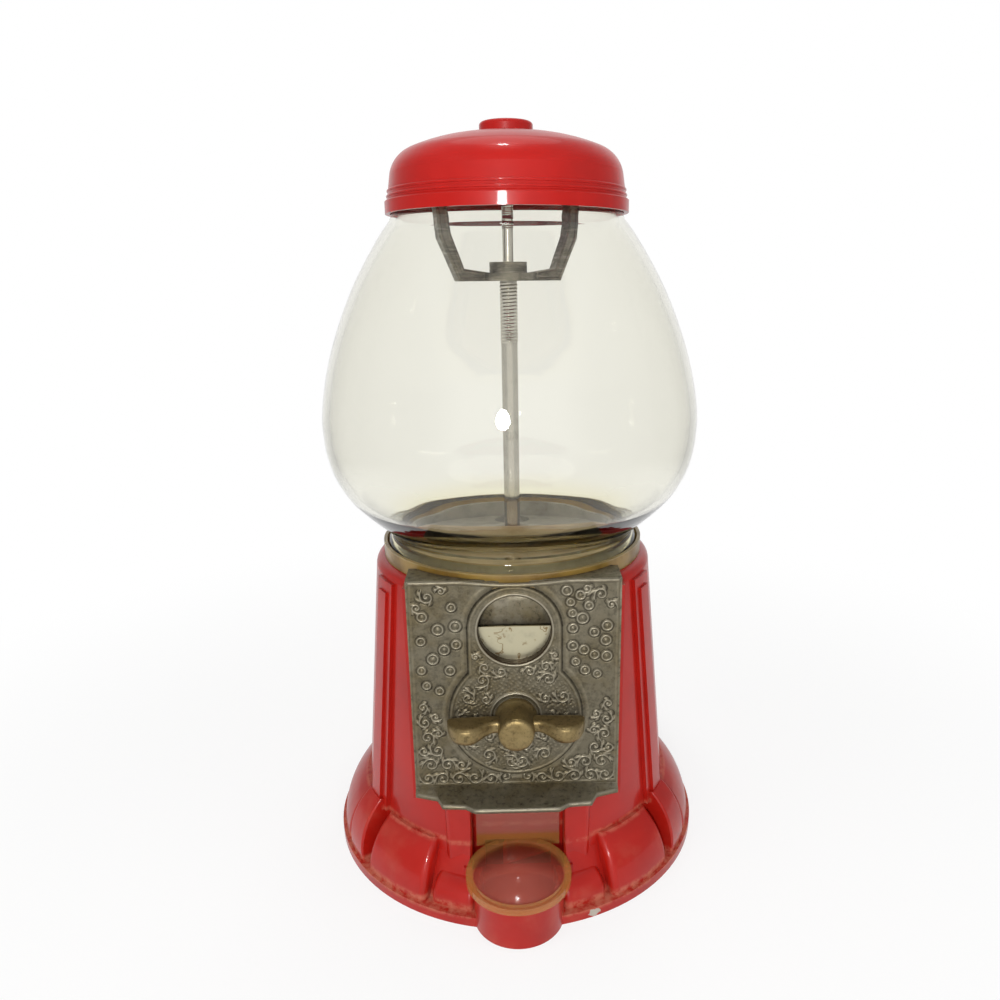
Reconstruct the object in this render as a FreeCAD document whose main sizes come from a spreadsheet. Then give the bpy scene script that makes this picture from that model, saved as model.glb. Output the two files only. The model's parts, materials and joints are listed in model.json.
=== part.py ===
import FreeCAD
import Part
import Sketcher
import math
import os
import re

# A countertop gumball machine: cast base, coin plate and mechanism, glass globe, lift-off lid.
# Origin on the rod's axis at the floor, Z up, the coin plate faces -Y. Millimetres and degrees.

# Driving sizes: every number named here becomes a cell of the sheet and drives the sketches by its name
turn_gap = 0.05  # radial gap of a turning fit
move_gap = 0.4  # gap beside a moving piece
seat_gap = 0.03  # gap of a piece that is pushed into its seat

foot_radius = 76.2  # lip of the foot
lip_height = 3.8  # height of the lip
skirt_radius = 75.0  # cushions of the skirt above the lip
skirt_top_radius = 64.4  # cushions of the skirt at their top
skirt_height = 24.4  # top of the cushions
skirt_roll = 27.0  # rounding of the cushions
skirt_recess = 4.2  # skirt behind the cushions
cushion_angle = 45.0  # width of a cushion as an angle
cushion_count = 4  # cushions round the sides and the back
cushion_span = 180.0  # angle from the first cushion to the last
front_cushion_angle = 24.3  # cushion beside a front pilaster
front_cushion_turn = -49.75  # direction of that cushion
end_round = 2.6  # rounding at the ends of the cushions
beam_round = 0.8  # rounding along the foot of a pilaster
wall_foot_radius = 63.4  # tapered wall where it leaves the skirt
wall_foot_height = 24.0  # height where the wall leaves the skirt
wall_top_radius = 55.0  # tapered wall at its top
base_height = 121.5  # top face of the casting
shoulder_round = 4.0  # rounding of the top edge
wall = 3.0  # wall of the casting
top_wall = 4.0  # top deck of the casting

pilaster_angle = 13.0  # width of a pilaster as an angle
pilaster_proud = 1.3  # pilaster in front of the wall
beam_angle = 9.6  # foot of a pilaster across the skirt
beam_rise = 4.0  # foot of a pilaster above the cushions
rib_angle = 6.6  # width of the middle rib as an angle
rib_proud = 2.5  # middle rib in front of the wall
pilaster_count = 5  # pilasters round the sides and the back
pilaster_span = 240.0  # angle from the first pilaster to the last
pilaster_first = -30.0  # direction of the first pilaster

plate_back = 48.4  # face of the front frame, ahead of the axis
plate_thickness = 2.6  # coin plate
frame_half_width = 39.4  # front frame
frame_depth = 2.0  # front frame
shelf_height = 39.6  # ledge below the front frame
opening_half_width = 30.0  # opening of the front frame
opening_low = 50.0  # lower edge of the opening
opening_high = 119.6  # upper edge of the opening

channel_half_width = 17.2  # chute channel between the front pilasters
channel_back = 49.0  # back wall of the channel, ahead of the axis
column_half_width = 26.8  # outer side of a front pilaster
column_front = 60.2  # front pilaster at the channel
column_side = 59.2  # front pilaster at its outer side
column_round = 2.2  # rounding of a front pilaster
block_turn = -70.0  # direction of the foot block of a front pilaster
block_angle = 13.2  # width of the foot block as an angle
block_radius = 73.4  # front of the foot block
block_height = 13.4  # foot block
block_round = 9.0  # rounding of the foot block
cup_offset = 68.8  # middle of the cup, ahead of the axis
cup_radius = 16.6  # outside of the cup
cup_wall = 2.4  # wall of the cup
cup_height = 16.4  # rim of the cup
cup_floor = 3.6  # floor of the cup
passage_half_width = 12.8  # ball passage to the cup
passage_height = 17.4  # top of the ball passage

cover_radius = 72.2  # bottom cover
cover_height = 2.4  # top of the bottom cover's edge
cover_sheet = 1.2  # sheet of the bottom cover
cover_chord = 45.4  # straight edge of the cover behind the cup
dimple_radius = 13.0  # raised middle of the cover
dimple_height = 11.5  # raised middle of the cover

rod_radius = 3.175  # rod through the machine
rod_foot = 3.4  # lower end of the rod
rod_shoulder = 231.5  # step to the lid stud
stud_radius = 2.0  # lid stud
stud_top = 274.6  # end of the lid stud
washer_radius = 9.0  # washer below the cover
washer_thickness = 1.0  # washer below the cover
nut_radius = 6.4  # nut across its corners
nut_height = 5.0  # nut

seat_radius = 47.0  # recess for the dish flange
seat_depth = 2.0  # recess for the dish flange
hopper_radius = 42.2  # outside of the dish
hopper_wall = 1.6  # wall of the dish
hopper_rim = 126.5  # rim of the dish
hopper_floor = 108.2  # floor of the dish
floor_thickness = 2.2  # floor of the dish
flange_screw_circle = 44.6  # screws of the dish flange
flange_screw_count = 3  # screws of the dish flange
screw_radius = 1.4  # small screws
screw_head = 2.4  # heads of the small screws

wheel_radius = 39.9  # gumball wheel
wheel_top = 121.0  # top of the gumball wheel
pocket_circle = 31.0  # pockets of the wheel and drop hole
pocket_radius = 7.8  # pocket of the wheel
pocket_count = 4  # pockets of the wheel
hub_radius = 9.0  # hub of the wheel
hub_cone_radius = 22.0  # cone on top of the wheel
hub_cone_rise = 4.0  # cone on top of the wheel
spigot_radius = 7.0  # hub where it carries the crown gear
drop_direction = -45.0  # drop hole, from +X
drop_radius = 8.2  # drop hole in the dish

guard_edge = 4.0  # straight edge of the guard ahead of the axis
guard_half_width = 33.0  # straight edge of the guard
guard_shoulder = 14.0  # where the guard reaches the rim
guard_sheet = 1.6  # guard over the drop hole

gasket_radius = 51.6  # soft ring under the globe
gasket_inner = 44.8  # soft ring under the globe
gasket_sheet = 2.15  # soft ring under the globe
gasket_lip = 1.3  # standing lip of the ring
gasket_height = 5.7  # standing lip of the ring

globe_wall = 3.0  # glass
globe_foot_radius = 50.0  # foot of the globe
globe_foot_height = 3.4  # foot of the globe
globe_neck_radius = 47.8  # waist above the foot
globe_neck_rise = 6.0  # waist above the foot
flare_radius = 53.5  # globe where the belly starts
flare_height = 136.3  # globe where the belly starts
flare_slope = 48.0  # lean of the glass there
flare_round = 47.0  # lower belly
low_belly_radius = 67.1  # globe below its widest part
low_belly_height = 152.0  # globe below its widest part
low_belly_slope = 26.5  # lean of the glass there
belly_round = 50.0  # belly
high_belly_radius = 70.4  # globe above its widest part
high_belly_height = 185.0  # globe above its widest part
high_belly_slope = 12.0  # lean of the glass there
crown_round = 146.0  # upper globe
mouth_radius = 42.3  # globe below its rim
mouth_height = 247.1  # globe below its rim
mouth_slope = 37.0  # lean of the glass there
globe_rim_radius = 42.1  # rim of the globe
globe_top = 252.5  # rim of the globe

lid_radius = 44.2  # bead of the lid
lid_low = 248.5  # lower edge of the lid
lid_bead = 4.1  # bead of the lid
lid_side_radius = 43.2  # side of the lid above the bead
lid_side_top_radius = 41.9  # side of the lid below the dome
lid_side_top = 262.0  # side of the lid below the dome
lid_shoulder_radius = 35.6  # dome of the lid
lid_shoulder_height = 269.8  # dome of the lid
lid_corner_round = 11.0  # corner between side and dome
lid_crown_round = 72.0  # dome of the lid
lid_flat_radius = 11.0  # flat under the knob
lid_top = 275.2  # flat under the knob
lid_wall = 1.7  # sheet of the lid
lid_hole = 4.3  # hole for the knob
knob_radius = 9.6  # knob
knob_top = 279.4  # top of the knob
knob_round = 1.2  # edge of the knob
knob_shank = 4.0  # shank of the knob
knob_foot = 268.5  # lower end of the shank
knob_lift = 0.2  # gap between knob and lid
clip_radius = 6.0  # spring clip on the shank
clip_groove = 3.2  # groove of the shank
clip_thickness = 0.9  # spring clip

yoke_low = 225.0  # under side of the yoke
yoke_flange_radius = 10.5  # flange of the yoke
yoke_flange = 2.7  # flange of the yoke
yoke_boss_radius = 7.0  # boss of the yoke
yoke_width = 6.4  # arms of the yoke
yoke_bar = 4.2  # arms of the yoke
yoke_reach = 19.8  # bend of the arms
yoke_knee = 26.4  # knee of the arms
yoke_knee_height = 240.0  # knee of the arms
yoke_hook = 39.7  # hook over the rim of the globe
yoke_turn = 18.0  # direction of the arms

plate_half_width = 38.0  # coin plate
plate_low = 40.4  # lower edge of the panel
plate_high = 125.4  # top of the plate
ledge_depth = 13.0  # ledge at the top of the plate
apron_edge = 1.6  # lower band of the apron
apron_top = 43.4  # apron where it leaves the panel
apron_corner = 52.6  # apron at the corner of the plate, ahead of the axis
apron_corner_side = 29.6  # inner end of the corner
apron_corner_side_front = 55.4  # inner end of the corner, ahead of the axis
apron_pilaster_side = 27.4  # apron over a front pilaster
apron_pilaster_front = 60.2  # apron over a front pilaster, ahead of the axis
apron_bend_side = 19.0  # inner end of that stretch
apron_bend_front = 60.8  # inner end of that stretch, ahead of the axis
apron_middle_side = 15.4  # middle of the apron
apron_middle_front = 63.4  # middle of the apron, ahead of the axis
window_radius = 13.0  # coin window
window_height = 106.5  # middle of the coin window
relief_radius = 24.0  # raised disc round the handle
relief_lobe = 16.6  # raised ring round the window
relief_height = 0.7  # raised field
collar_radius = 8.2  # collar round the shaft
collar_height = 1.6  # collar round the shaft
shield_half_width = 15.0  # shield behind the window
shield_low = 89.0  # shield behind the window
shield_sheet = 0.8  # shield behind the window

shaft_height = 72.5  # handle shaft above the floor
shaft_radius = 3.0  # handle shaft
shaft_front = 63.0  # front end of the shaft
shaft_rear = 17.4  # rear end of the shaft
tail_radius = 2.2  # shaft in the pinion
bush_radius = 4.6  # bearings of the shaft
bush_flange = 6.2  # flange of a bearing
bush_sheet = 1.0  # flange of a bearing

bracket_front = 43.4  # bracket ahead of the axis
bracket_sheet = 1.5  # bracket
bracket_half_width = 36.2  # bracket
bracket_low = 46.0  # bracket
bracket_high = 104.0  # bracket
mech_screw_side = 33.6  # clamping screws
mech_screw_low = 50.6  # clamping screws
mech_screw_high = 100.8  # clamping screws
standoff_radius = 2.8  # spacers of the bracket
fence_radius = 34.5  # coin fence
fence_sheet = 1.0  # coin fence
fence_angle = 58.0  # coin fence above and below the shaft

coin_radius = 12.1  # coin
coin_circle = 21.4  # middle of the coin in the wheel
coin_wheel_radius = 24.0  # coin wheel
coin_wheel_front = 46.0  # coin wheel ahead of the axis
coin_wheel_width = 2.3  # coin wheel
ratchet_root = 12.8  # ratchet
ratchet_radius = 15.0  # ratchet
ratchet_count = 12  # ratchet
ratchet_front = 40.5  # ratchet ahead of the axis
ratchet_width = 2.6  # ratchet
pawl_side = 20.8  # pivot of the pawl
pawl_drop = 14.8  # pivot of the pawl below the shaft
pawl_pin_radius = 1.6  # pivot of the pawl
pawl_eye = 3.4  # eye of the pawl
pawl_tip_angle = 197.0  # where the pawl meets the ratchet
pawl_half_width = 1.5  # arm of the pawl

gear_module = 1.25  # pinion and crown gear
pinion_teeth = 8  # pinion
crown_teeth = 32  # crown gear
tooth_width = 1.25  # tooth at the pitch line
tooth_tip = 0.66  # tooth at its tip
tooth_height = 1.05  # tooth beyond the pitch line
tooth_depth = 1.4  # tooth below the pitch line
crown_face = 3.6  # length of a crown tooth
crown_sheet = 3.4  # crown gear

handle_span = 25.0  # half the span of the handle
handle_thickness = 4.2  # wings of the handle
handle_hub = 7.2  # hub of the handle
handle_front = 66.0  # face of the hub
wing_back = 54.4  # back edge of the wings
wing_front = 65.2  # front edge of the wings
wing_neck_front = 60.4  # wings beside the hub
wing_neck = 9.0  # wings beside the hub
wing_belly = 17.5  # deepest part of a wing
wing_end = 2.0  # corner at the end of a wing
wing_end_round = 2.2  # rounding of that corner
wing_round = 9.7  # outer edge of a wing

chute_radius = 7.9  # inside of the ball chute
chute_wall = 1.2  # wall of the ball chute
chute_tube_low = 38.0  # lower end of the tube
chute_flange = 14.4  # flange of the chute
chute_flange_sheet = 1.6  # flange of the chute
chute_mouth = 53.0  # end of the trough ahead of the axis
trough_low = 2.6  # floor of the trough at its end
trough_slope = 29.0  # fall of the trough
trough_side = 9.0  # side of the trough

door_half_width = 15.9  # strip of the door
door_strip = 1.6  # strip of the door
door_gap = 0.5  # gap between strip and casting
door_disc_radius = 19.2  # disc of the door
door_rim = 2.4  # rim of the disc
door_rim_height = 2.6  # rim of the disc
door_dome = 4.6  # dome of the disc above its foot
door_sheet = 1.4  # sheet of the dome
hinge_forward = 52.0  # door hinge ahead of the axis
hinge_height = 36.6  # door hinge
hinge_radius = 2.3  # barrel of the door hinge
pin_radius = 1.2  # pin of the door hinge
pin_half_length = 19.4  # pin of the door hinge

sizes = {name: value for name, value in globals().items() if type(value) in (int, float)}

doc = FreeCAD.newDocument("GumballMachine")
sheet = doc.addObject("Spreadsheet::Sheet", "Sizes")
for row, (name, value) in enumerate(sizes.items(), 1):
    sheet.set(f"A{row}", name)
    sheet.set(f"B{row}", str(value))
    sheet.setAlias(f"B{row}", name)
doc.recompute()
nodes = {}


def formula(text):
    """Prefix the sheet's names, so that any object can use them."""
    return re.sub(r"[A-Za-z_]\w*", lambda m: "Sizes." + m[0] if m[0] in sizes else m[0], text)


def number(text):
    """Value of a formula at the sizes in the sheet."""
    value = sheet.evalExpression(formula(text))
    return float(getattr(value, "Value", value))


def bind(thing, prop, text):
    """Tie a property to a formula."""
    thing.setExpression(prop, formula(text))


def new_body(label):
    """An empty body for one piece."""
    body = doc.addObject("PartDesign::Body", label)
    body.Label = label
    nodes[label] = body
    return body


def origin_part(body, role):
    """One of the body's own planes or axes."""
    return next(item for item in body.Origin.OriginFeatures if item.Role == role)


def new_sketch(body, role, offset="0", turn="0"):
    """A sketch on one of the body's planes, moved along its normal and turned about its upright."""
    sketch = body.newObject("Sketcher::SketchObject", body.Name + "_outline")
    sketch.AttachmentSupport = [(origin_part(body, role), "")]
    sketch.MapMode = "FlatFace"
    if turn != "0":
        rotation = FreeCAD.Rotation(FreeCAD.Vector(0, 1, 0), number(turn))
        sketch.AttachmentOffset = FreeCAD.Placement(FreeCAD.Vector(), rotation)
        bind(sketch, ".AttachmentOffset.Rotation.Angle", turn)
    if offset != "0":
        bind(sketch, ".AttachmentOffset.Base.x", f"({offset}) * sin({turn})")
        bind(sketch, ".AttachmentOffset.Base.z", f"({offset}) * cos({turn})")
    return sketch


def hold(sketch, geometry, place, x, y):
    """Fix one point of a sketch at the coordinates given as formulas."""
    for word, text, axis in (("DistanceX", x, -2), ("DistanceY", y, -1)):
        if text == "0":
            sketch.addConstraint(Sketcher.Constraint("PointOnObject", geometry, place, axis))
            continue
        held = Sketcher.Constraint(word, -1, 1, geometry, place, number(text))
        bind(sketch, f"Constraints[{sketch.addConstraint(held)}]", text)


def set_radius(sketch, geometry, text):
    """Fix the radius of a circle or an arc."""
    held = Sketcher.Constraint("Radius", geometry, number(text))
    bind(sketch, f"Constraints[{sketch.addConstraint(held)}]", text)


def angle_of(vector):
    """Direction of a vector in its sketch."""
    return math.atan2(vector.y, vector.x)


def trace(sketch, path):
    """A closed outline. A corner is (x, y), or (x, y, radius, side) when an arc leads to it;
    the side is 1 when the arc's centre lies left of the way along the outline, else -1."""
    points = [FreeCAD.Vector(number(corner[0]), number(corner[1]), 0) for corner in path]
    ends = []
    for index, corner in enumerate(path):
        start = points[index - 1]
        stop = points[index]
        if len(corner) == 2:
            line = sketch.addGeometry(Part.LineSegment(start, stop), False)
            ends.append((line, 1, 2))
            continue
        radius = number(corner[2])
        chord = stop - start
        inward = FreeCAD.Vector(-chord.y, chord.x, 0) / chord.Length * corner[3]
        centre = (start + stop) / 2 + inward * math.sqrt(radius ** 2 - chord.Length ** 2 / 4)
        circle = Part.Circle(centre, FreeCAD.Vector(0, 0, 1), radius)
        first, last = (start, stop) if corner[3] > 0 else (stop, start)
        arc = Part.ArcOfCircle(circle, angle_of(first - centre), angle_of(last - centre))
        order = (1, 2) if corner[3] > 0 else (2, 1)
        ends.append((sketch.addGeometry(arc, False),) + order)
    for index, corner in enumerate(path):
        geometry, _, last = ends[index]
        follower, first, _ = ends[(index + 1) % len(path)]
        sketch.addConstraint(Sketcher.Constraint("Coincident", geometry, last, follower, first))
        hold(sketch, geometry, last, corner[0], corner[1])
        if len(corner) == 4:
            set_radius(sketch, geometry, corner[2])
    return sketch


def ring(sketch, x, y, radius):
    """A full circle in a sketch."""
    centre = FreeCAD.Vector(number(x), number(y), 0)
    circle = sketch.addGeometry(Part.Circle(centre, FreeCAD.Vector(0, 0, 1), number(radius)), False)
    hold(sketch, circle, 3, x, y)
    set_radius(sketch, circle, radius)
    return sketch


def oblong(left, right, low, high):
    """Corners of an upright rectangle."""
    return [(left, low), (right, low), (right, high), (left, high)]


def extrude(body, sketch, length, kind="Pad", side="One side", back=False):
    """Add or cut a sketch along its normal."""
    feature = body.newObject("PartDesign::" + kind, f"{body.Name}_{kind.lower()}")
    feature.Profile = sketch
    feature.SideType = side
    feature.Reversed = back
    bind(feature, "Length", length)
    return feature


def revolve(body, sketch, kind="Revolution", angle="360", axis="V_Axis"):
    """Add or cut a sketch turned about one of its axes, to both sides alike."""
    feature = body.newObject("PartDesign::" + kind, f"{body.Name}_{kind.lower()}")
    feature.Profile = sketch
    feature.ReferenceAxis = (sketch, [axis])
    if angle == "360":
        feature.Angle = 360
    else:
        feature.Midplane = True
        bind(feature, "Angle", angle)
    return feature


def loft(body, sections):
    """A ruled solid between sketches with equal numbers of corners."""
    feature = body.newObject("PartDesign::AdditiveLoft", body.Name + "_loft")
    feature.Profile = sections[0]
    feature.Sections = sections[1:]
    feature.Ruled = True
    return feature


def mirror(body, features, role="YZ_Plane"):
    """Repeat features on the other side of one of the body's planes."""
    feature = body.newObject("PartDesign::Mirrored", body.Name + "_mirrored")
    feature.Originals = features
    feature.MirrorPlane = (origin_part(body, role), [""])
    body.Tip = feature
    return feature


def repeat(body, features, count, span="360", axis="Z_Axis"):
    """Repeat features round one of the body's axes."""
    feature = body.newObject("PartDesign::PolarPattern", body.Name + "_pattern")
    feature.Originals = features
    feature.Axis = (origin_part(body, axis), [""])
    bind(feature, "Occurrences", count)
    bind(feature, "Angle", span)
    body.Tip = feature
    return feature


def turned(label, path):
    """A piece turned about the rod's axis; the outline runs in radius and height."""
    body = new_body(label)
    revolve(body, trace(new_sketch(body, "XZ_Plane"), path))
    return body


def soften(body, radius, wanted):
    """Round the edges of a body that the test picks."""
    doc.recompute()
    base = body.Tip
    picked = [f"Edge{index + 1}" for index, edge in enumerate(base.Shape.Edges) if wanted(edge)]
    feature = body.newObject("PartDesign::Fillet", body.Name + "_fillet")
    feature.Base = (base, picked)
    bind(feature, "Radius", radius)
    return feature


# Base casting: lip of the foot, skirt and tapered wall in one turned outline
casting = turned("base_casting", [
    ("0", "0"),
    ("foot_radius", "0"),
    ("foot_radius", "lip_height"),
    ("skirt_radius - skirt_recess", "lip_height"),
    ("wall_foot_radius", "wall_foot_height - skirt_recess"),
    ("wall_top_radius", "base_height - shoulder_round"),
    ("wall_top_radius - shoulder_round", "base_height", "shoulder_round", 1),
    ("0", "base_height"),
])

# The front is cut flat above a ledge and squared out to carry the coin plate
frame_block = trace(new_sketch(casting, "XY_Plane", "shelf_height"), oblong(
    "-frame_half_width", "frame_half_width", "-plate_back", "-wall_top_radius / 2"))
extrude(casting, frame_block, "base_height - shelf_height")
front_cut = trace(new_sketch(casting, "XY_Plane", "base_height"), oblong(
    "-foot_radius", "foot_radius", "-foot_radius - cup_radius", "-plate_back"))
extrude(casting, front_cut, "base_height - shelf_height", "Pocket")

# Cushions of the skirt, then stepped pilasters, each with a foot across the skirt
wall_inner = "wall_top_radius - wall"
cushion_outline = [
    (wall_inner, "lip_height"),
    ("skirt_radius", "lip_height"),
    ("skirt_top_radius", "skirt_height", "skirt_roll", 1),
    (wall_inner, "skirt_height"),
]
cushion = revolve(casting, trace(new_sketch(casting, "XZ_Plane"), cushion_outline), angle="cushion_angle")
repeat(casting, [cushion], "cushion_count", "cushion_span")
pilaster = revolve(casting, trace(new_sketch(casting, "XZ_Plane", turn="pilaster_first"), [
    (wall_inner, "wall_foot_height"),
    ("wall_foot_radius + pilaster_proud", "wall_foot_height"),
    ("wall_top_radius + pilaster_proud", "base_height - shoulder_round"),
    (wall_inner, "base_height - shoulder_round"),
]), angle="pilaster_angle")
rib = revolve(casting, trace(new_sketch(casting, "XZ_Plane", turn="pilaster_first"), [
    (wall_inner, "wall_foot_height"),
    ("wall_foot_radius + rib_proud", "wall_foot_height"),
    ("wall_top_radius + rib_proud", "base_height - 2 * shoulder_round"),
    (wall_inner, "base_height - 2 * shoulder_round"),
]), angle="rib_angle")
beam = revolve(casting, trace(new_sketch(casting, "XZ_Plane", turn="pilaster_first"), [
    (wall_inner, "lip_height"),
    ("skirt_radius", "lip_height"),
    ("wall_foot_radius + rib_proud", "skirt_height + beam_rise", "skirt_roll", 1),
    (wall_inner, "skirt_height + beam_rise"),
]), angle="beam_angle")
repeat(casting, [pilaster, rib, beam], "pilaster_count", "pilaster_span")

# Front pilasters beside the chute channel, each on a rounded foot block with a cushion next to it
column = extrude(casting, trace(new_sketch(casting, "XY_Plane", "lip_height"), [
    ("channel_half_width", "-plate_back"),
    ("channel_half_width", "-column_front"),
    ("column_half_width", "-column_side"),
    ("column_half_width", "-plate_back"),
]), "shelf_height - lip_height")
front_cushion = revolve(casting, trace(new_sketch(casting, "XZ_Plane", turn="front_cushion_turn"),
                                       cushion_outline), angle="front_cushion_angle")
block = revolve(casting, trace(new_sketch(casting, "XZ_Plane", turn="block_turn"), [
    (wall_inner, "lip_height"),
    ("block_radius", "lip_height"),
    ("block_radius", "block_height - block_round"),
    ("block_radius - block_round", "block_height", "block_round", 1),
    (wall_inner, "block_height"),
]), angle="block_angle")
mirror(casting, [column, front_cushion, block])


def ends(directions, width):
    """Directions of both ends of sectors, and of their mirror images across the machine."""
    half = number(width) / 2
    right = [number(direction) + side for direction in directions for side in (half, -half)]
    return right + [180 - direction for direction in right]


def end_arc(edge, directions):
    """Whether an edge is the curved outer edge at the end of a sector."""
    middle = edge.valueAt((edge.FirstParameter + edge.LastParameter) / 2)
    direction = math.degrees(math.atan2(middle.y, middle.x))
    off = [abs((direction - wanted + 180) % 360 - 180) for wanted in directions]
    return min(off) < 0.01 and isinstance(edge.Curve, Part.Circle)


cushion_step = "cushion_span / (cushion_count - 1)"
pilaster_step = "pilaster_span / (pilaster_count - 1)"
cushion_ends = ends(["0", cushion_step], "cushion_angle")
cushion_ends += ends(["front_cushion_turn"], "front_cushion_angle")
beam_count = round(number("pilaster_count"))
beam_turns = [f"pilaster_first + {index} * {pilaster_step}" for index in range(beam_count)]
beam_ends = ends(beam_turns, "beam_angle")
block_ends = ends(["block_turn"], "block_angle")
soften(casting, "end_round", lambda edge: end_arc(edge, cushion_ends))
soften(casting, "beam_round", lambda edge: end_arc(edge, beam_ends))
soften(casting, "0.7 * end_round", lambda edge: end_arc(edge, block_ends))


def column_edge(edge):
    """Whether an edge is an outer upright edge of a front pilaster."""
    middle = edge.valueAt((edge.FirstParameter + edge.LastParameter) / 2)
    off = abs(abs(middle.x) - number("column_half_width")) + abs(middle.y + number("column_side"))
    return off < 0.01


soften(casting, "column_round", column_edge)

# The inside is hollow and open below, with a step for the cover
revolve(casting, trace(new_sketch(casting, "XZ_Plane"), [
    ("0", "0"),
    ("cover_radius + move_gap", "0"),
    ("cover_radius + move_gap", "cover_height"),
    ("cover_radius - wall", "cover_height"),
    ("(skirt_radius + wall_foot_radius - skirt_recess) / 2 - wall", "skirt_height / 2"),
    ("wall_foot_radius - wall", "skirt_height"),
    ("wall_top_radius - wall", "base_height - top_wall"),
    ("0", "base_height - top_wall"),
]), "Groove")

# Front frame, the ledge below it and the walls of the chute channel close the hollow again
frame_wall = trace(new_sketch(casting, "XZ_Plane", "plate_back - frame_depth"), oblong(
    "-frame_half_width", "frame_half_width", "shelf_height - wall", "base_height"))
extrude(casting, frame_wall, "frame_depth")
ledge_reach = "sqrt((wall_foot_radius - wall) ^ 2 - (plate_back - frame_depth) ^ 2)"
extrude(casting, trace(new_sketch(casting, "XY_Plane", "shelf_height - wall"), [
    ("-1 * " + ledge_reach, "frame_depth - plate_back"),
    (ledge_reach, "frame_depth - plate_back", "wall_foot_radius - wall", 1),
]), "wall")
chute_box = trace(new_sketch(casting, "XY_Plane"), oblong(
    "-channel_half_width - wall", "channel_half_width + wall",
    "-column_side", "wall - channel_back"))
extrude(casting, chute_box, "shelf_height")

# Cup for the ball, on a floor that reaches back to the channel
cup_foot = trace(new_sketch(casting, "XY_Plane"), oblong(
    "-channel_half_width - wall", "channel_half_width + wall",
    "-column_front - wall", "wall - channel_back"))
extrude(casting, cup_foot, "cup_height")
extrude(casting, ring(new_sketch(casting, "XY_Plane"), "0", "-cup_offset", "cup_radius"), "cup_height")

# Room behind the frame for the coin bracket
bracket_room = trace(new_sketch(casting, "XY_Plane", "base_height - top_wall"), oblong(
    "-bracket_half_width - move_gap", "bracket_half_width + move_gap",
    "frame_depth - plate_back", "-wall_top_radius / 2"))
extrude(casting, bracket_room, "base_height - top_wall - shelf_height - wall", "Pocket")

# Chute channel, the well of the door, the cup and the ball passage
channel = trace(new_sketch(casting, "XY_Plane", "shelf_height"), oblong(
    "-channel_half_width", "channel_half_width", "-column_front - wall", "-channel_back"))
extrude(casting, channel, "shelf_height - cup_floor", "Pocket")
door_well = ring(new_sketch(casting, "XY_Plane", "shelf_height"),
                 "0", "-cup_offset", "door_disc_radius + move_gap")
extrude(casting, door_well, "shelf_height - cup_height", "Pocket")
cup_room = ring(new_sketch(casting, "XY_Plane", "cup_height"), "0", "-cup_offset", "cup_radius - cup_wall")
extrude(casting, cup_room, "cup_height - cup_floor", "Pocket")
passage = trace(new_sketch(casting, "XZ_Plane", "channel_back"), oblong(
    "-passage_half_width", "passage_half_width", "cup_floor", "passage_height"))
extrude(casting, passage, "2 * wall", "Pocket")

# Seat of the dish and the opening behind the coin plate
seat = ring(new_sketch(casting, "XY_Plane", "base_height"), "0", "0", "seat_radius")
extrude(casting, seat, "seat_depth", "Pocket")
bore = ring(new_sketch(casting, "XY_Plane", "base_height"), "0", "0", "hopper_radius + move_gap")
extrude(casting, bore, "2 * top_wall", "Pocket")
opening = trace(new_sketch(casting, "XZ_Plane", "plate_back"), oblong(
    "-opening_half_width", "opening_half_width", "opening_low", "opening_high"))
extrude(casting, opening, "frame_depth", "Pocket")

# Holes for the clamping screws, the dish screws and the hinge pin
mech_spots = [(side + "mech_screw_side", height) for side in ("", "-")
              for height in ("mech_screw_low", "mech_screw_high")]
screw_holes = new_sketch(casting, "XZ_Plane", "plate_back")
for spot_x, spot_z in mech_spots:
    ring(screw_holes, spot_x, spot_z, "screw_radius + turn_gap")
extrude(casting, screw_holes, "frame_depth", "Pocket")
dish_ring = ring(new_sketch(casting, "XY_Plane", "base_height"),
                 "0", "flange_screw_circle", "screw_radius + turn_gap")
dish_hole = extrude(casting, dish_ring, "top_wall", "Pocket")
repeat(casting, [dish_hole], "flange_screw_count")
pin_hole = ring(new_sketch(casting, "YZ_Plane"), "-hinge_forward", "hinge_height", "pin_radius + turn_gap")
extrude(casting, pin_hole, "2 * (pin_half_length + move_gap)", "Pocket", "Symmetric")

# Coin plate: panel, ledge round the globe's foot, apron that follows the round wall below
plate = new_body("faceplate")
plate_front = "plate_back + plate_thickness"
extrude(plate, trace(new_sketch(plate, "XZ_Plane", "plate_back"), oblong(
    "-plate_half_width", "plate_half_width", "plate_low", "plate_high")), "plate_thickness")
extrude(plate, trace(new_sketch(plate, "XY_Plane", "base_height + seat_gap"), oblong(
    "-plate_half_width", "plate_half_width",
    "-plate_back - plate_thickness", "ledge_depth - plate_back - plate_thickness")),
    "plate_high - base_height - seat_gap")
half_apron = [
    ("plate_half_width", "apron_corner"),
    ("apron_corner_side", "apron_corner_side_front"),
    ("apron_pilaster_side", "apron_pilaster_front"),
    ("apron_bend_side", "apron_bend_front"),
    ("apron_middle_side", "apron_middle_front"),
]


def apron_outline(front):
    """Both halves of the apron from above, closed along the back of the plate."""
    right = [(side, "-1 * " + front(reach)) for side, reach in half_apron]
    left = [("-" + side, reach) for side, reach in reversed(right)]
    return [("plate_half_width", "-plate_back")] + right + left + [("-plate_half_width", "-plate_back")]


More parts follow.
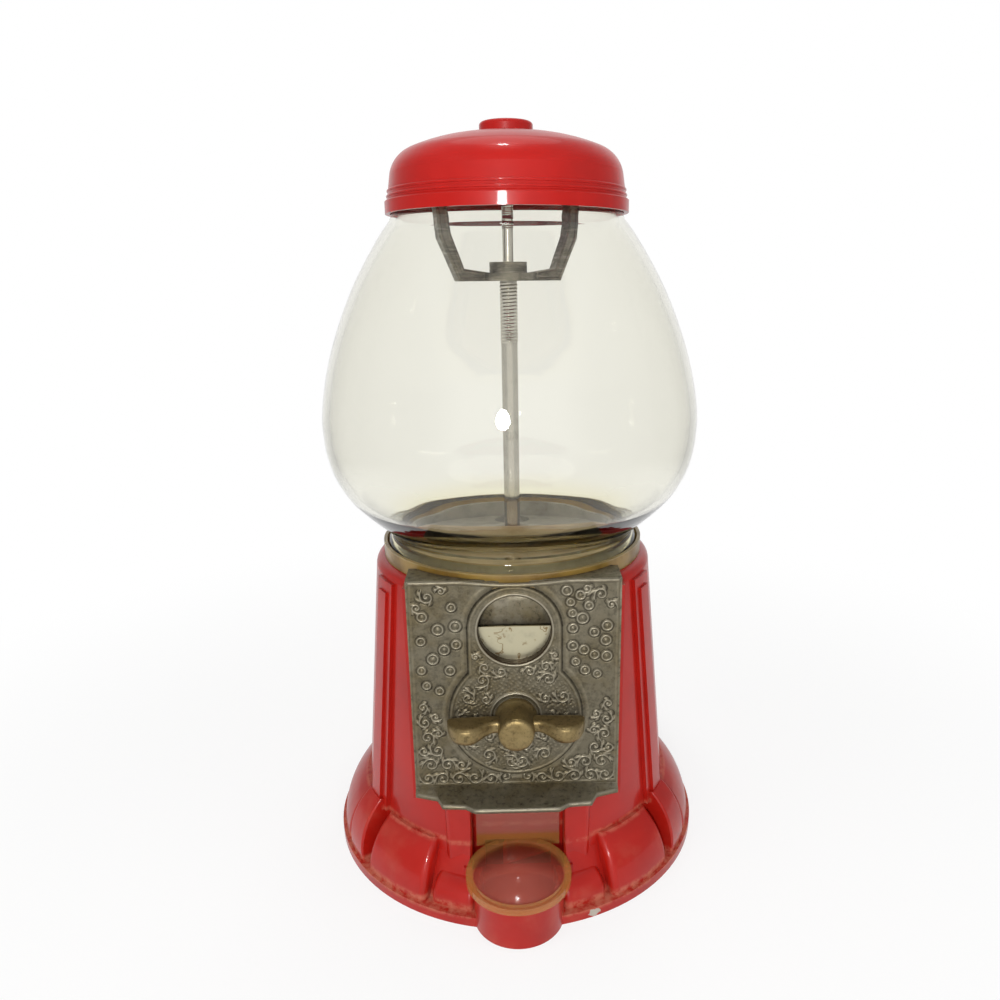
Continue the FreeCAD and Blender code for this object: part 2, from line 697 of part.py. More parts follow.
apron_low = "shelf_height + seat_gap"
extrude(plate, trace(new_sketch(plate, "XY_Plane", apron_low), apron_outline(str)), "apron_edge")
loft(plate, [
    trace(new_sketch(plate, "XY_Plane", apron_low + " + apron_edge"), apron_outline(str)),
    trace(new_sketch(plate, "XY_Plane", "apron_top"),
          apron_outline(lambda reach: "(plate_back + plate_thickness / 2)")),
])
extrude(plate, ring(new_sketch(plate, "XZ_Plane", plate_front), "0", "shaft_height", "relief_radius"),
        "relief_height")
extrude(plate, ring(new_sketch(plate, "XZ_Plane", plate_front), "0", "window_height", "relief_lobe"),
        "relief_height")
extrude(plate, ring(new_sketch(plate, "XZ_Plane", plate_front), "0", "shaft_height", "collar_radius"),
        "collar_height")
extrude(plate, ring(new_sketch(plate, "XY_Plane", "plate_high"), "0", "0", "gasket_radius + move_gap"),
        "plate_high - base_height", "Pocket")
extrude(plate, ring(new_sketch(plate, "XZ_Plane", "plate_back"), "0", "window_height", "window_radius"),
        "4 * plate_thickness", "Pocket", "Symmetric")
bush_hole = ring(new_sketch(plate, "XZ_Plane", "plate_back"), "0", "shaft_height", "bush_radius + seat_gap")
extrude(plate, bush_hole, "4 * plate_thickness", "Pocket", "Symmetric")
blind_holes = new_sketch(plate, "XZ_Plane", "plate_back")
for spot_x, spot_z in mech_spots:
    ring(blind_holes, spot_x, spot_z, "screw_radius + turn_gap")
extrude(plate, blind_holes, "plate_thickness * 0.7", "Pocket", back=True)

shield = new_body("coin_shield")
extrude(shield, trace(new_sketch(shield, "XZ_Plane", "plate_back - shield_sheet"), oblong(
    "-shield_half_width", "shield_half_width", "shield_low", "window_height")), "shield_sheet")

# Bracket with spacers, coin fence and the hole of its bearing
bracket = new_body("mech_bracket")
extrude(bracket, trace(new_sketch(bracket, "XZ_Plane", "bracket_front - bracket_sheet"), oblong(
    "-bracket_half_width", "bracket_half_width", "bracket_low", "bracket_high")), "bracket_sheet")
spacers = new_sketch(bracket, "XZ_Plane", "bracket_front")
for spot_x, spot_z in mech_spots:
    ring(spacers, spot_x, spot_z, "standoff_radius")
extrude(bracket, spacers, "plate_back - frame_depth - bracket_front")
fence_out = "(fence_radius + fence_sheet)"
outer_x = fence_out + " * cos(fence_angle)"
outer_z = fence_out + " * sin(fence_angle)"
inner_x = "fence_radius * cos(fence_angle)"
inner_z = "fence_radius * sin(fence_angle)"
extrude(bracket, trace(new_sketch(bracket, "XZ_Plane", "bracket_front"), [
    (outer_x, "shaft_height - " + outer_z),
    (outer_x, "shaft_height + " + outer_z, fence_out, 1),
    (inner_x, "shaft_height + " + inner_z),
    (inner_x, "shaft_height - " + inner_z, "fence_radius", -1),
]), "coin_wheel_front - bracket_front")
bracket_holes = new_sketch(bracket, "XZ_Plane", "bracket_front")
for spot_x, spot_z in mech_spots:
    ring(bracket_holes, spot_x, spot_z, "screw_radius + turn_gap")
ring(bracket_holes, "0", "shaft_height", "bush_radius + seat_gap")
ring(bracket_holes, "-pawl_side", "shaft_height - pawl_drop", "pawl_pin_radius + seat_gap")
extrude(bracket, bracket_holes, "8 * bracket_sheet", "Pocket", "Symmetric")


def screws(label, spots, direction, shank, head_radius="screw_head"):
    """A group of equal slotted screws. Each spot seats a head; the shank runs along the direction."""
    radius = number(head_radius)
    depth = number("screw_radius")
    pin = Part.makeCylinder(depth, number(shank))
    cap = Part.makeCylinder(radius, depth, FreeCAD.Vector(0, 0, -depth))
    slot = Part.makeBox(2 * radius, depth / 2, depth / 2, FreeCAD.Vector(-radius, -depth / 4, -depth))
    screw = pin.fuse(cap).cut(slot).removeSplitter()
    turn = FreeCAD.Rotation(FreeCAD.Vector(0, 0, 1), direction)
    solids = []
    for spot in spots:
        solid = screw.copy()
        solid.Placement = FreeCAD.Placement(FreeCAD.Vector(*[number(text) for text in spot]), turn)
        solids.append(solid)
    group = doc.addObject("Part::Feature", label)
    group.Label = label
    group.Shape = Part.makeCompound(solids)
    nodes[label] = group
    return group


ahead = FreeCAD.Vector(0, -1, 0)
down = FreeCAD.Vector(0, 0, -1)
up = FreeCAD.Vector(0, 0, 1)
screws("mech_screws", [(x, "bracket_sheet - bracket_front", z) for x, z in mech_spots], ahead,
       "plate_back - bracket_front + bracket_sheet + plate_thickness / 2")


def bush(label, front, length, flange_front):
    """A flanged bearing of the handle shaft, its bore along the depth of the machine."""
    body = new_body(label)
    sleeve = ring(new_sketch(body, "XZ_Plane", front), "0", "shaft_height", "bush_radius")
    extrude(body, sleeve, length, back=True)
    flange = ring(new_sketch(body, "XZ_Plane", flange_front), "0", "shaft_height", "bush_flange")
    extrude(body, flange, "bush_sheet", back=True)
    hole = ring(new_sketch(body, "XZ_Plane", front), "0", "shaft_height", "shaft_radius + turn_gap")
    extrude(body, hole, "4 * bush_flange", "Pocket", "Symmetric")
    return body


bush("shaft_bush", plate_front + " + collar_height", "plate_thickness + collar_height + bush_sheet",
     "plate_back")
bush("bracket_bush", "bracket_front", "bracket_sheet + bush_sheet / 2", "bracket_front - bracket_sheet")

pawl_pin = new_body("pawl_pin")
pawl_pin_head = ring(new_sketch(pawl_pin, "XZ_Plane", "ratchet_front - ratchet_width - turn_gap"),
                     "-pawl_side", "shaft_height - pawl_drop", "pawl_eye - move_gap")
extrude(pawl_pin, pawl_pin_head, "bush_sheet", back=True)
pawl_pin_stem = ring(new_sketch(pawl_pin, "XZ_Plane", "bracket_front"),
                     "-pawl_side", "shaft_height - pawl_drop", "pawl_pin_radius")
extrude(pawl_pin, pawl_pin_stem, "bracket_front - ratchet_front + ratchet_width + turn_gap", back=True)

# Dish with a flange in the casting's seat, a drop hole and a hole for the wheel's hub
hopper = turned("hopper", [
    ("hub_radius + move_gap", "hopper_floor - floor_thickness"),
    ("hopper_radius", "hopper_floor - floor_thickness"),
    ("hopper_radius", "base_height - seat_depth"),
    ("seat_radius - seat_gap", "base_height - seat_depth"),
    ("seat_radius - seat_gap", "base_height"),
    ("hopper_radius", "base_height"),
    ("hopper_radius", "hopper_rim"),
    ("hopper_radius - hopper_wall", "hopper_rim"),
    ("hopper_radius - hopper_wall", "hopper_floor"),
    ("hub_radius + move_gap", "hopper_floor"),
])
drop_x = "pocket_circle * cos(drop_direction)"
drop_y = "pocket_circle * sin(drop_direction)"
extrude(hopper, ring(new_sketch(hopper, "XY_Plane", "hopper_floor"), drop_x, drop_y, "drop_radius"),
        "floor_thickness", "Pocket")
chute_screw_reach = "(chute_radius + chute_wall + screw_head + move_gap)"
chute_spots = [(f"{drop_x} + {side} * {chute_screw_reach} * cos(drop_direction + 90)",
                f"{drop_y} + {side} * {chute_screw_reach} * sin(drop_direction + 90)")
               for side in ("1", "-1")]
floor_holes = new_sketch(hopper, "XY_Plane", "hopper_floor")
for spot_x, spot_y in chute_spots:
    ring(floor_holes, spot_x, spot_y, "screw_radius + turn_gap")
extrude(hopper, floor_holes, "floor_thickness", "Pocket")
sink_radius = "1.5 * screw_radius"
hole_ring = ring(new_sketch(hopper, "XY_Plane", "base_height"),
                 "0", "flange_screw_circle", "screw_radius + turn_gap")
flange_hole = extrude(hopper, hole_ring, "seat_depth", "Pocket")
sink_ring = ring(new_sketch(hopper, "XY_Plane", "base_height"),
                 "0", "flange_screw_circle", sink_radius + " + turn_gap")
flange_sink = extrude(hopper, sink_ring, "screw_radius", "Pocket")
repeat(hopper, [flange_hole, flange_sink], "flange_screw_count")
dish_count = round(number("flange_screw_count"))
dish_turns = [f"(90 + {index} * 360 / flange_screw_count)" for index in range(dish_count)]
dish_spots = [(f"flange_screw_circle * cos({turn})", f"flange_screw_circle * sin({turn})",
               "base_height - screw_radius") for turn in dish_turns]
screws("hopper_screws", dish_spots, down, "top_wall - screw_radius", sink_radius)

# Guard over the drop hole, resting on the front half of the rim
guard = new_body("ball_guard")
guard_side = "sqrt((hopper_radius - turn_gap) ^ 2 - guard_shoulder ^ 2)"
extrude(guard, trace(new_sketch(guard, "XY_Plane", "hopper_rim"), [
    ("-guard_half_width", "-guard_edge"),
    ("guard_half_width", "-guard_edge"),
    (guard_side, "-guard_shoulder"),
    ("-1 * " + guard_side, "-guard_shoulder", "hopper_radius - turn_gap", -1),
]), "guard_sheet")

gasket_top = "base_height + gasket_sheet"
turned("globe_gasket", [
    ("gasket_inner", "base_height"),
    ("gasket_radius", "base_height"),
    ("gasket_radius", "base_height + gasket_height"),
    ("gasket_radius - gasket_lip", "base_height + gasket_height"),
    ("gasket_radius - gasket_lip", gasket_top),
    ("gasket_inner", gasket_top),
])

# Globe: foot, waist, three tangent arcs of the belly and a rim under the lid, at an even wall
globe_foot = gasket_top
turned("globe", [
    ("globe_neck_radius - globe_wall", globe_foot),
    ("globe_foot_radius", globe_foot),
    ("globe_foot_radius", globe_foot + " + globe_foot_height"),
    ("globe_neck_radius", globe_foot + " + globe_neck_rise"),
    ("flare_radius", "flare_height"),
    ("low_belly_radius", "low_belly_height", "flare_round", 1),
    ("high_belly_radius", "high_belly_height", "belly_round", 1),
    ("mouth_radius", "mouth_height", "crown_round", 1),
    ("globe_rim_radius", "globe_top - globe_wall"),
    ("globe_rim_radius", "globe_top"),
    ("mouth_radius - globe_wall", "globe_top"),
    ("mouth_radius - globe_wall * cos(mouth_slope)", "mouth_height - globe_wall * sin(mouth_slope)"),
    ("high_belly_radius - globe_wall * cos(high_belly_slope)",
     "high_belly_height - globe_wall * sin(high_belly_slope)", "crown_round - globe_wall", -1),
    ("low_belly_radius - globe_wall * cos(low_belly_slope)",
     "low_belly_height + globe_wall * sin(low_belly_slope)", "belly_round - globe_wall", -1),
    ("flare_radius - globe_wall * cos(flare_slope)",
     "flare_height + globe_wall * sin(flare_slope)", "flare_round - globe_wall", -1),
    ("globe_neck_radius - globe_wall", globe_foot + " + globe_neck_rise + globe_wall / 2"),
])

turned("center_rod", [
    ("0", "rod_foot"),
    ("rod_radius", "rod_foot"),
    ("rod_radius", "rod_shoulder"),
    ("stud_radius", "rod_shoulder"),
    ("stud_radius", "stud_top"),
    ("0", "stud_top"),
])

# Yoke: flange and boss on the rod, two cranked arms that hook over the rim of the globe
yoke = turned("yoke", [
    ("rod_radius + seat_gap", "yoke_low"),
    ("yoke_flange_radius", "yoke_low"),
    ("yoke_flange_radius", "yoke_low + yoke_flange"),
    ("yoke_boss_radius", "yoke_low + yoke_flange"),
    ("yoke_boss_radius", "rod_shoulder"),
    ("rod_radius + seat_gap", "rod_shoulder"),
])
arm = extrude(yoke, trace(new_sketch(yoke, "XZ_Plane"), [
    ("yoke_boss_radius", "yoke_low"),
    ("yoke_reach", "yoke_low"),
    ("yoke_knee", "yoke_knee_height"),
    ("yoke_knee + yoke_bar / 4", "globe_top - yoke_bar / 2"),
    ("yoke_hook - yoke_bar", "globe_top"),
    ("yoke_hook", "globe_top"),
    ("yoke_hook", "globe_top + 0.7 * yoke_bar"),
    ("yoke_hook - 2 * yoke_bar", "globe_top + 0.7 * yoke_bar"),
    ("yoke_knee - 0.7 * yoke_bar", "globe_top - yoke_bar / 2"),
    ("yoke_knee - yoke_bar", "yoke_knee_height + yoke_bar / 4"),
    ("yoke_reach - yoke_bar / 2", "yoke_low + yoke_bar"),
    ("yoke_boss_radius", "yoke_low + yoke_flange"),
]), "yoke_width", side="Symmetric")
mirror(yoke, [arm])
yoke.Placement = FreeCAD.Placement(FreeCAD.Vector(), FreeCAD.Rotation(up, number("yoke_turn")))
bind(yoke, ".Placement.Rotation.Angle", "yoke_turn")

# Ball chute, drawn with its own X axis along the trough from the cup to the drop hole
chute = new_body("ball_chute")
chute_run_x = f"({drop_x})"
chute_run_y = f"({drop_y} + chute_mouth)"
chute_run = f"sqrt({chute_run_x} ^ 2 + {chute_run_y} ^ 2)"
chute_outer = "chute_radius + chute_wall"
chute_top = "hopper_floor - floor_thickness"
fall = "tan(trough_slope)"
trough_end = f"({chute_run} + {chute_outer})"
trough_floor = "trough_low - chute_wall"
extrude(chute, trace(new_sketch(chute, "XZ_Plane"), [
    ("0", trough_floor),
    (trough_end, f"{trough_floor} + {trough_end} * {fall}"),
    (trough_end, f"trough_low + trough_side + {trough_end} * {fall}"),
    ("0", "trough_low + trough_side"),
]), f"2 * ({chute_outer})", side="Symmetric")
tube = ring(new_sketch(chute, "XY_Plane", "chute_tube_low - trough_side"), chute_run, "0", chute_outer)
extrude(chute, tube, f"{chute_top} - chute_tube_low + trough_side")
extrude(chute, ring(new_sketch(chute, "XY_Plane", chute_top), chute_run, "0", "chute_flange"),
        "chute_flange_sheet", back=True)
inside_end = f"({chute_run} + chute_radius)"
extrude(chute, trace(new_sketch(chute, "XZ_Plane"), [
    ("0", "trough_low"),
    (inside_end, f"trough_low + {inside_end} * {fall}"),
    (inside_end, f"trough_low + 2 * trough_side + {inside_end} * {fall}"),
    ("0", "trough_low + 2 * trough_side"),
]), "2 * chute_radius", "Pocket", "Symmetric")
extrude(chute, ring(new_sketch(chute, "XY_Plane", chute_top), chute_run, "0", "chute_radius"),
        f"{chute_top} - chute_tube_low + trough_side", "Pocket")
# The trough ends square against the wall behind the cup
chute_turn = f"atan2({chute_run_y}; {chute_run_x})"
wall_face = "(chute_mouth - channel_back + wall + move_gap)"


def chute_corner(across, along):
    """A point given across and along the machine, in the chute's own axes."""
    return (f"({across}) * cos({chute_turn}) + ({along}) * sin({chute_turn})",
            f"({along}) * cos({chute_turn}) - ({across}) * sin({chute_turn})")


extrude(chute, trace(new_sketch(chute, "XY_Plane"), [
    chute_corner("-chute_mouth", "-chute_mouth"),
    chute_corner("chute_mouth", "-chute_mouth"),
    chute_corner("chute_mouth", wall_face),
    chute_corner("-chute_mouth", wall_face),
]), "2 * chute_tube_low", "Pocket", "Symmetric")
flange_holes = new_sketch(chute, "XY_Plane", chute_top)
# The flange screws sit square to the drop hole's radius, seen in the chute's own axes
lean = f"((drop_direction + 90) * 1 deg - {chute_turn})"
for side in ("1", "-1"):
    ring(flange_holes, f"{chute_run} + {side} * {chute_screw_reach} * cos({lean})",
         f"{side} * {chute_screw_reach} * sin({lean})", "screw_radius + turn_gap")
extrude(chute, flange_holes, "chute_flange_sheet", "Pocket")
chute.Placement = FreeCAD.Placement(FreeCAD.Vector(0, -number("chute_mouth"), 0), FreeCAD.Rotation(up, 45))
bind(chute, ".Placement.Base.y", "-chute_mouth")
bind(chute, ".Placement.Rotation.Angle", chute_turn)
screws("chute_screws", [(x, y, chute_top + " - chute_flange_sheet") for x, y in chute_spots], up,
       "chute_flange_sheet + floor_thickness")

# Cover of the foot with a raised middle for the rod's nut
cover = turned("bottom_cover", [
    ("rod_radius + turn_gap", "dimple_height - cover_sheet"),
    ("dimple_radius", "dimple_height - cover_sheet"),
    ("dimple_radius + dimple_height", "cover_height - cover_sheet"),
    ("cover_radius", "cover_height - cover_sheet"),
    ("cover_radius", "cover_height"),
    ("dimple_radius + dimple_height + cover_sheet / 2", "cover_height"),
    ("dimple_radius + cover_sheet / 2", "dimple_height"),
    ("rod_radius + turn_gap", "dimple_height"),
])
extrude(cover, trace(new_sketch(cover, "XY_Plane", "dimple_height"), oblong(
    "-cover_radius", "cover_radius", "-cover_radius", "-cover_chord")), "dimple_height", "Pocket")
washer_top = "dimple_height - cover_sheet"
turned("rod_washer", [
    ("rod_radius + turn_gap", washer_top + " - washer_thickness"),
    ("washer_radius", washer_top + " - washer_thickness"),
    ("washer_radius", washer_top),
    ("rod_radius + turn_gap", washer_top),
])
nut = new_body("rod_nut")
nut_half = "nut_radius * cos(30)"
extrude(nut, trace(new_sketch(nut, "XY_Plane", washer_top + " - washer_thickness"), [
    ("nut_radius", "0"),
    ("nut_radius / 2", nut_half),
    ("-nut_radius / 2", nut_half),
    ("-nut_radius", "0"),
    ("-nut_radius / 2", "-1 * " + nut_half),
    ("nut_radius / 2", "-1 * " + nut_half),
]), "nut_height", back=True)
nut_bore = ring(new_sketch(nut, "XY_Plane"), "0", "0", "rod_radius + turn_gap")
extrude(nut, nut_bore, "4 * dimple_height", "Pocket", "Symmetric")

door_pin = doc.addObject("Part::Cylinder", "door_pin")
door_pin.Label = "door_pin"
nodes["door_pin"] = door_pin
door_pin.Placement.Rotation = FreeCAD.Rotation(FreeCAD.Vector(0, 1, 0), 90)
bind(door_pin, "Radius", "pin_radius")
bind(door_pin, "Height", "2 * pin_half_length")
bind(door_pin, ".Placement.Base.x", "-pin_half_length")
bind(door_pin, ".Placement.Base.y", "-hinge_forward")
bind(door_pin, ".Placement.Base.z", "hinge_height")

# Handle: a round hub with two flat wings, drawn from above
handle = new_body("handle")
extrude(handle, ring(new_sketch(handle, "XZ_Plane", plate_front + " + collar_height + move_gap"),
                     "0", "shaft_height", "handle_hub"),
        "handle_front - plate_back - plate_thickness - collar_height - move_gap")
wing = extrude(handle, trace(new_sketch(handle, "XY_Plane", "shaft_height"), [
    ("0", "-wing_back"),
    ("0", "-wing_neck_front"),
    ("wing_neck", "-wing_neck_front"),
    ("wing_belly", "-wing_front", "wing_belly", -1),
    ("handle_span", "-wing_back - wing_end", "wing_round", 1),
    ("handle_span - wing_end", "-wing_back", "wing_end_round", 1),
]), "handle_thickness", side="Symmetric")
mirror(handle, [wing])
shaft_hole = ring(new_sketch(handle, "XZ_Plane", "shaft_front"),
                  "0", "shaft_height", "shaft_radius + seat_gap")
extrude(handle, shaft_hole, "shaft_front", "Pocket")

shaft = new_body("handle_shaft")
extrude(shaft, ring(new_sketch(shaft, "XZ_Plane", "shaft_front"), "0", "shaft_height", "shaft_radius"),
        "shaft_front - gear_module * crown_teeth / 2 - crown_face", back=True)
extrude(shaft, ring(new_sketch(shaft, "XZ_Plane", "shaft_front"), "0", "shaft_height", "tail_radius"),
        "shaft_front - shaft_rear", back=True)

coin_wheel = new_body("coin_wheel")
extrude(coin_wheel, ring(new_sketch(coin_wheel, "XZ_Plane", "coin_wheel_front"), "0", "shaft_height",
                         "coin_wheel_radius"), "coin_wheel_width", back=True)
coin_notch = new_sketch(coin_wheel, "XZ_Plane", "coin_wheel_front")
ring(coin_notch, "0", "shaft_height + coin_circle", "coin_radius + move_gap")
extrude(coin_wheel, coin_notch, "coin_wheel_width", "Pocket")
coin_bore = new_sketch(coin_wheel, "XZ_Plane", "coin_wheel_front")
ring(coin_bore, "0", "shaft_height", "shaft_radius + seat_gap")
for side in ("", "-"):
    ring(coin_bore, side + "coin_wheel_radius / 2", "shaft_height - coin_wheel_radius / 3",
         "coin_wheel_radius / 6")
extrude(coin_wheel, coin_bore, "coin_wheel_width", "Pocket")


def toothed(label, front, width, root_radius, tooth, count, bore):
    """A wheel on the handle shaft with one tooth drawn at its top and repeated round it."""
    body = new_body(label)
    body.Placement.Base = FreeCAD.Vector(0, 0, number("shaft_height"))
    bind(body, ".Placement.Base.z", "shaft_height")
    extrude(body, ring(new_sketch(body, "XZ_Plane", front), "0", "0", root_radius), width, back=True)
    one = extrude(body, trace(new_sketch(body, "XZ_Plane", front), tooth), width, back=True)
    repeat(body, [one], count, axis="Y_Axis")
    extrude(body, ring(new_sketch(body, "XZ_Plane", front), "0", "0", bore), width, "Pocket")
    return body


tooth_angle = "(360 / ratchet_count)"
toothed("ratchet_wheel", "ratchet_front", "ratchet_width", "ratchet_root", [
    ("0", "ratchet_root - pin_radius"),
    (f"ratchet_root * sin({tooth_angle})", f"ratchet_root * cos({tooth_angle})"),
    ("0", "ratchet_radius"),
], "ratchet_count", "shaft_radius + seat_gap")
pinion_pitch = "(gear_module * pinion_teeth / 2)"
crown_pitch = "(gear_module * crown_teeth / 2)"
toothed("drive_pinion", crown_pitch + " + crown_face / 2", "crown_face", pinion_pitch + " - tooth_depth", [
    ("-tooth_width * 0.75", pinion_pitch + " - tooth_depth - 0.3"),
    ("tooth_width * 0.75", pinion_pitch + " - tooth_depth - 0.3"),
    ("tooth_width / 2", pinion_pitch),
    ("tooth_tip / 2", pinion_pitch + " + tooth_height"),
    ("-tooth_tip / 2", pinion_pitch + " + tooth_height"),
    ("-tooth_width / 2", pinion_pitch),
], "pinion_teeth", "tail_radius + seat_gap")

clip = new_body("shaft_clip")
clip_disc = ring(new_sketch(clip, "XZ_Plane", "ratchet_front - ratchet_width - turn_gap"),
                 "0", "shaft_height", "bush_flange")
extrude(clip, clip_disc, "bush_sheet", back=True)
clip_bore = ring(new_sketch(clip, "XZ_Plane", "ratchet_front"),
                 "0", "shaft_height", "shaft_radius + seat_gap")
extrude(clip, clip_bore, "4 * ratchet_width", "Pocket", "Symmetric")

# Gumball wheel: cone, four through pockets and a hub that reaches down to the crown gear
crown_line = f"shaft_height + {pinion_pitch}"
crown_low = f"{crown_line} + tooth_depth"
wheel_low = "hopper_floor + move_gap"
wheel = turned("gumball_wheel", [
    ("rod_radius + turn_gap", crown_low),
    ("spigot_radius", crown_low),
    ("spigot_radius", crown_low + " + crown_sheet"),
    ("hub_radius", crown_low + " + crown_sheet"),
    ("hub_radius", wheel_low),
    ("wheel_radius", wheel_low),
    ("wheel_radius", "wheel_top"),
    ("hub_cone_radius", "wheel_top"),
    ("hub_radius", "wheel_top + hub_cone_rise"),
    ("rod_radius + turn_gap", "wheel_top + hub_cone_rise"),
])
pocket_ring = ring(new_sketch(wheel, "XY_Plane", "wheel_top + hub_cone_rise"),
                   "pocket_circle", "0", "pocket_radius")
ball_pocket = extrude(wheel, pocket_ring, f"wheel_top + hub_cone_rise - {wheel_low}", "Pocket")
repeat(wheel, [ball_pocket], "pocket_count")

crown = new_body("crown_gear")
extrude(crown, ring(new_sketch(crown, "XY_Plane", crown_low), "0", "0", f"{crown_pitch} + crown_face / 2"),
        "crown_sheet")
half_pitch = "(180 / crown_teeth)"
crown_tooth = extrude(crown, trace(new_sketch(crown, "YZ_Plane", f"{crown_pitch} - crown_face / 2",
                                              turn=half_pitch), [
    ("tooth_width * 0.75", crown_low),
    ("-tooth_width * 0.75", crown_low),
    ("-tooth_width / 2", crown_line),
    ("-tooth_tip / 2", crown_line + " - tooth_height"),
    ("tooth_tip / 2", crown_line + " - tooth_height"),
    ("tooth_width / 2", crown_line),
]), "crown_face")
repeat(crown, [crown_tooth], "crown_teeth")
extrude(crown, ring(new_sketch(crown, "XY_Plane", crown_low), "0", "0", "spigot_radius + seat_gap"),
        "crown_sheet", "Pocket", back=True)

# Pawl: an eye on its pin and a strut that leans on the tips of the ratchet
pawl = new_body("pawl")
pawl_x = "-pawl_side"
pawl_z = "(shaft_height - pawl_drop)"
tip_radius = "(ratchet_radius + move_gap)"
tip_x = f"{tip_radius} * cos(pawl_tip_angle)"
tip_z = f"shaft_height + {tip_radius} * sin(pawl_tip_angle)"
pawl_front = "ratchet_front - turn_gap"
pawl_width = "ratchet_width - 2 * turn_gap"
eye = ring(new_sketch(pawl, "XZ_Plane", pawl_front), pawl_x, pawl_z, "pawl_eye")
extrude(pawl, eye, pawl_width, back=True)
extrude(pawl, trace(new_sketch(pawl, "XZ_Plane", pawl_front), [
    (pawl_x + " - pawl_half_width", pawl_z),
    (pawl_x + " + pawl_half_width", pawl_z),
    (tip_x, tip_z),
    (tip_x + " - pawl_half_width", tip_z + " + pawl_half_width / 2"),
]), pawl_width, back=True)
extrude(pawl, ring(new_sketch(pawl, "XZ_Plane", pawl_front), pawl_x, pawl_z, "pawl_pin_radius + turn_gap"),
        pawl_width, "Pocket")

# Door: a domed disc over the cup, a strip up to the hinge and its barrel
door = new_body("chute_door")
disc_low = "cup_height + turn_gap"
dome_reach = "(door_disc_radius - door_rim)"
dome_rise = "(door_dome - door_sheet)"
dome_round = f"({dome_reach} ^ 2 + {dome_rise} ^ 2) / (2 * {dome_rise})"
revolve(door, trace(new_sketch(door, "XZ_Plane", "cup_offset"), [
    ("0", disc_low + " + door_dome - door_sheet", dome_round, 1),
    ("0", disc_low + " + door_dome"),
    ("door_disc_radius - door_rim", disc_low + " + door_sheet", dome_round, -1),
    ("door_disc_radius - door_rim", disc_low + " + door_rim_height"),
    ("door_disc_radius", disc_low + " + door_rim_height"),
    ("door_disc_radius", disc_low),
    ("door_disc_radius - door_rim", disc_low),
]))
strip_back = "channel_back + door_gap"
extrude(door, trace(new_sketch(door, "XY_Plane", disc_low), oblong(
    "-door_half_width", "door_half_width", f"-({strip_back} + door_strip)", f"-({strip_back})")),
    f"hinge_height - ({disc_low})")
extrude(door, ring(new_sketch(door, "YZ_Plane"), "-hinge_forward", "hinge_height", "hinge_radius"),
        "2 * channel_half_width - 2 * move_gap", side="Symmetric")
extrude(door, ring(new_sketch(door, "YZ_Plane"), "-hinge_forward", "hinge_height", "pin_radius + turn_gap"),
        "4 * channel_half_width", "Pocket", "Symmetric")

# Lid: bead, side and dome of even sheet, a step that rests on the rim of the globe
lid_rest = "globe_top + turn_gap"
turned("lid", [
    ("lid_radius - lid_wall", "lid_low"),
    ("lid_radius", "lid_low"),
    ("lid_radius", "lid_low + lid_bead"),
    ("lid_side_radius", "lid_low + lid_bead + lid_wall / 2"),
    ("lid_side_top_radius", "lid_side_top"),
    ("lid_shoulder_radius", "lid_shoulder_height", "lid_corner_round", 1),
    ("lid_flat_radius", "lid_top", "lid_crown_round", 1),
    ("lid_hole", "lid_top"),
    ("lid_hole", "lid_top - lid_wall"),
    ("lid_flat_radius", "lid_top - lid_wall"),
    ("lid_shoulder_radius - lid_wall / 2", "lid_shoulder_height - lid_wall",
     "lid_crown_round - lid_wall", -1),
    ("lid_side_top_radius - lid_wall", "lid_side_top", "lid_corner_round - lid_wall", -1),
    ("lid_side_radius - 1.5 * lid_wall", lid_rest),
    ("lid_radius - lid_wall", lid_rest),
])
knob_low = "lid_top + knob_lift"
clip_top = "lid_top - lid_wall - knob_lift"
turned("lid_knob", [
    ("0", "stud_top + clip_thickness"),
    ("stud_radius + turn_gap", "stud_top + clip_thickness"),
    ("stud_radius + turn_gap", "knob_foot"),
    ("knob_shank", "knob_foot"),
    ("knob_shank", clip_top + " - clip_thickness - seat_gap"),
    ("clip_groove", clip_top + " - clip_thickness - seat_gap"),
    ("clip_groove", clip_top + " + seat_gap"),
    ("knob_shank", clip_top + " + seat_gap"),
    ("knob_shank", knob_low),
    ("knob_radius - knob_round / 2", knob_low),
    ("knob_radius", knob_low + " + knob_round / 2"),
    ("knob_radius", "knob_top - knob_round"),
    ("knob_radius - knob_round", "knob_top", "knob_round", 1),
    ("0", "knob_top"),
])
turned("knob_clip", [
    ("clip_groove + seat_gap", clip_top + " - clip_thickness"),
    ("clip_radius", clip_top + " - clip_thickness"),
    ("clip_radius", clip_top),
    ("clip_groove + seat_gap", clip_top),
])

doc.recompute()
for item in doc.Objects:
    if "Invalid" in item.State or "Error" in item.State:
        raise RuntimeError(f"{item.Name} does not build")
for label, piece in nodes.items():
    if piece.Shape.isNull() or not piece.Shape.isValid():
        raise RuntimeError(f"{label} has no valid shape")
os.makedirs("parts", exist_ok=True)
for label, piece in nodes.items():
    piece.Shape.exportStep(f"parts/{label}.step")
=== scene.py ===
import json
import bmesh
import bpy
import numpy as np
from mathutils import Matrix, Vector


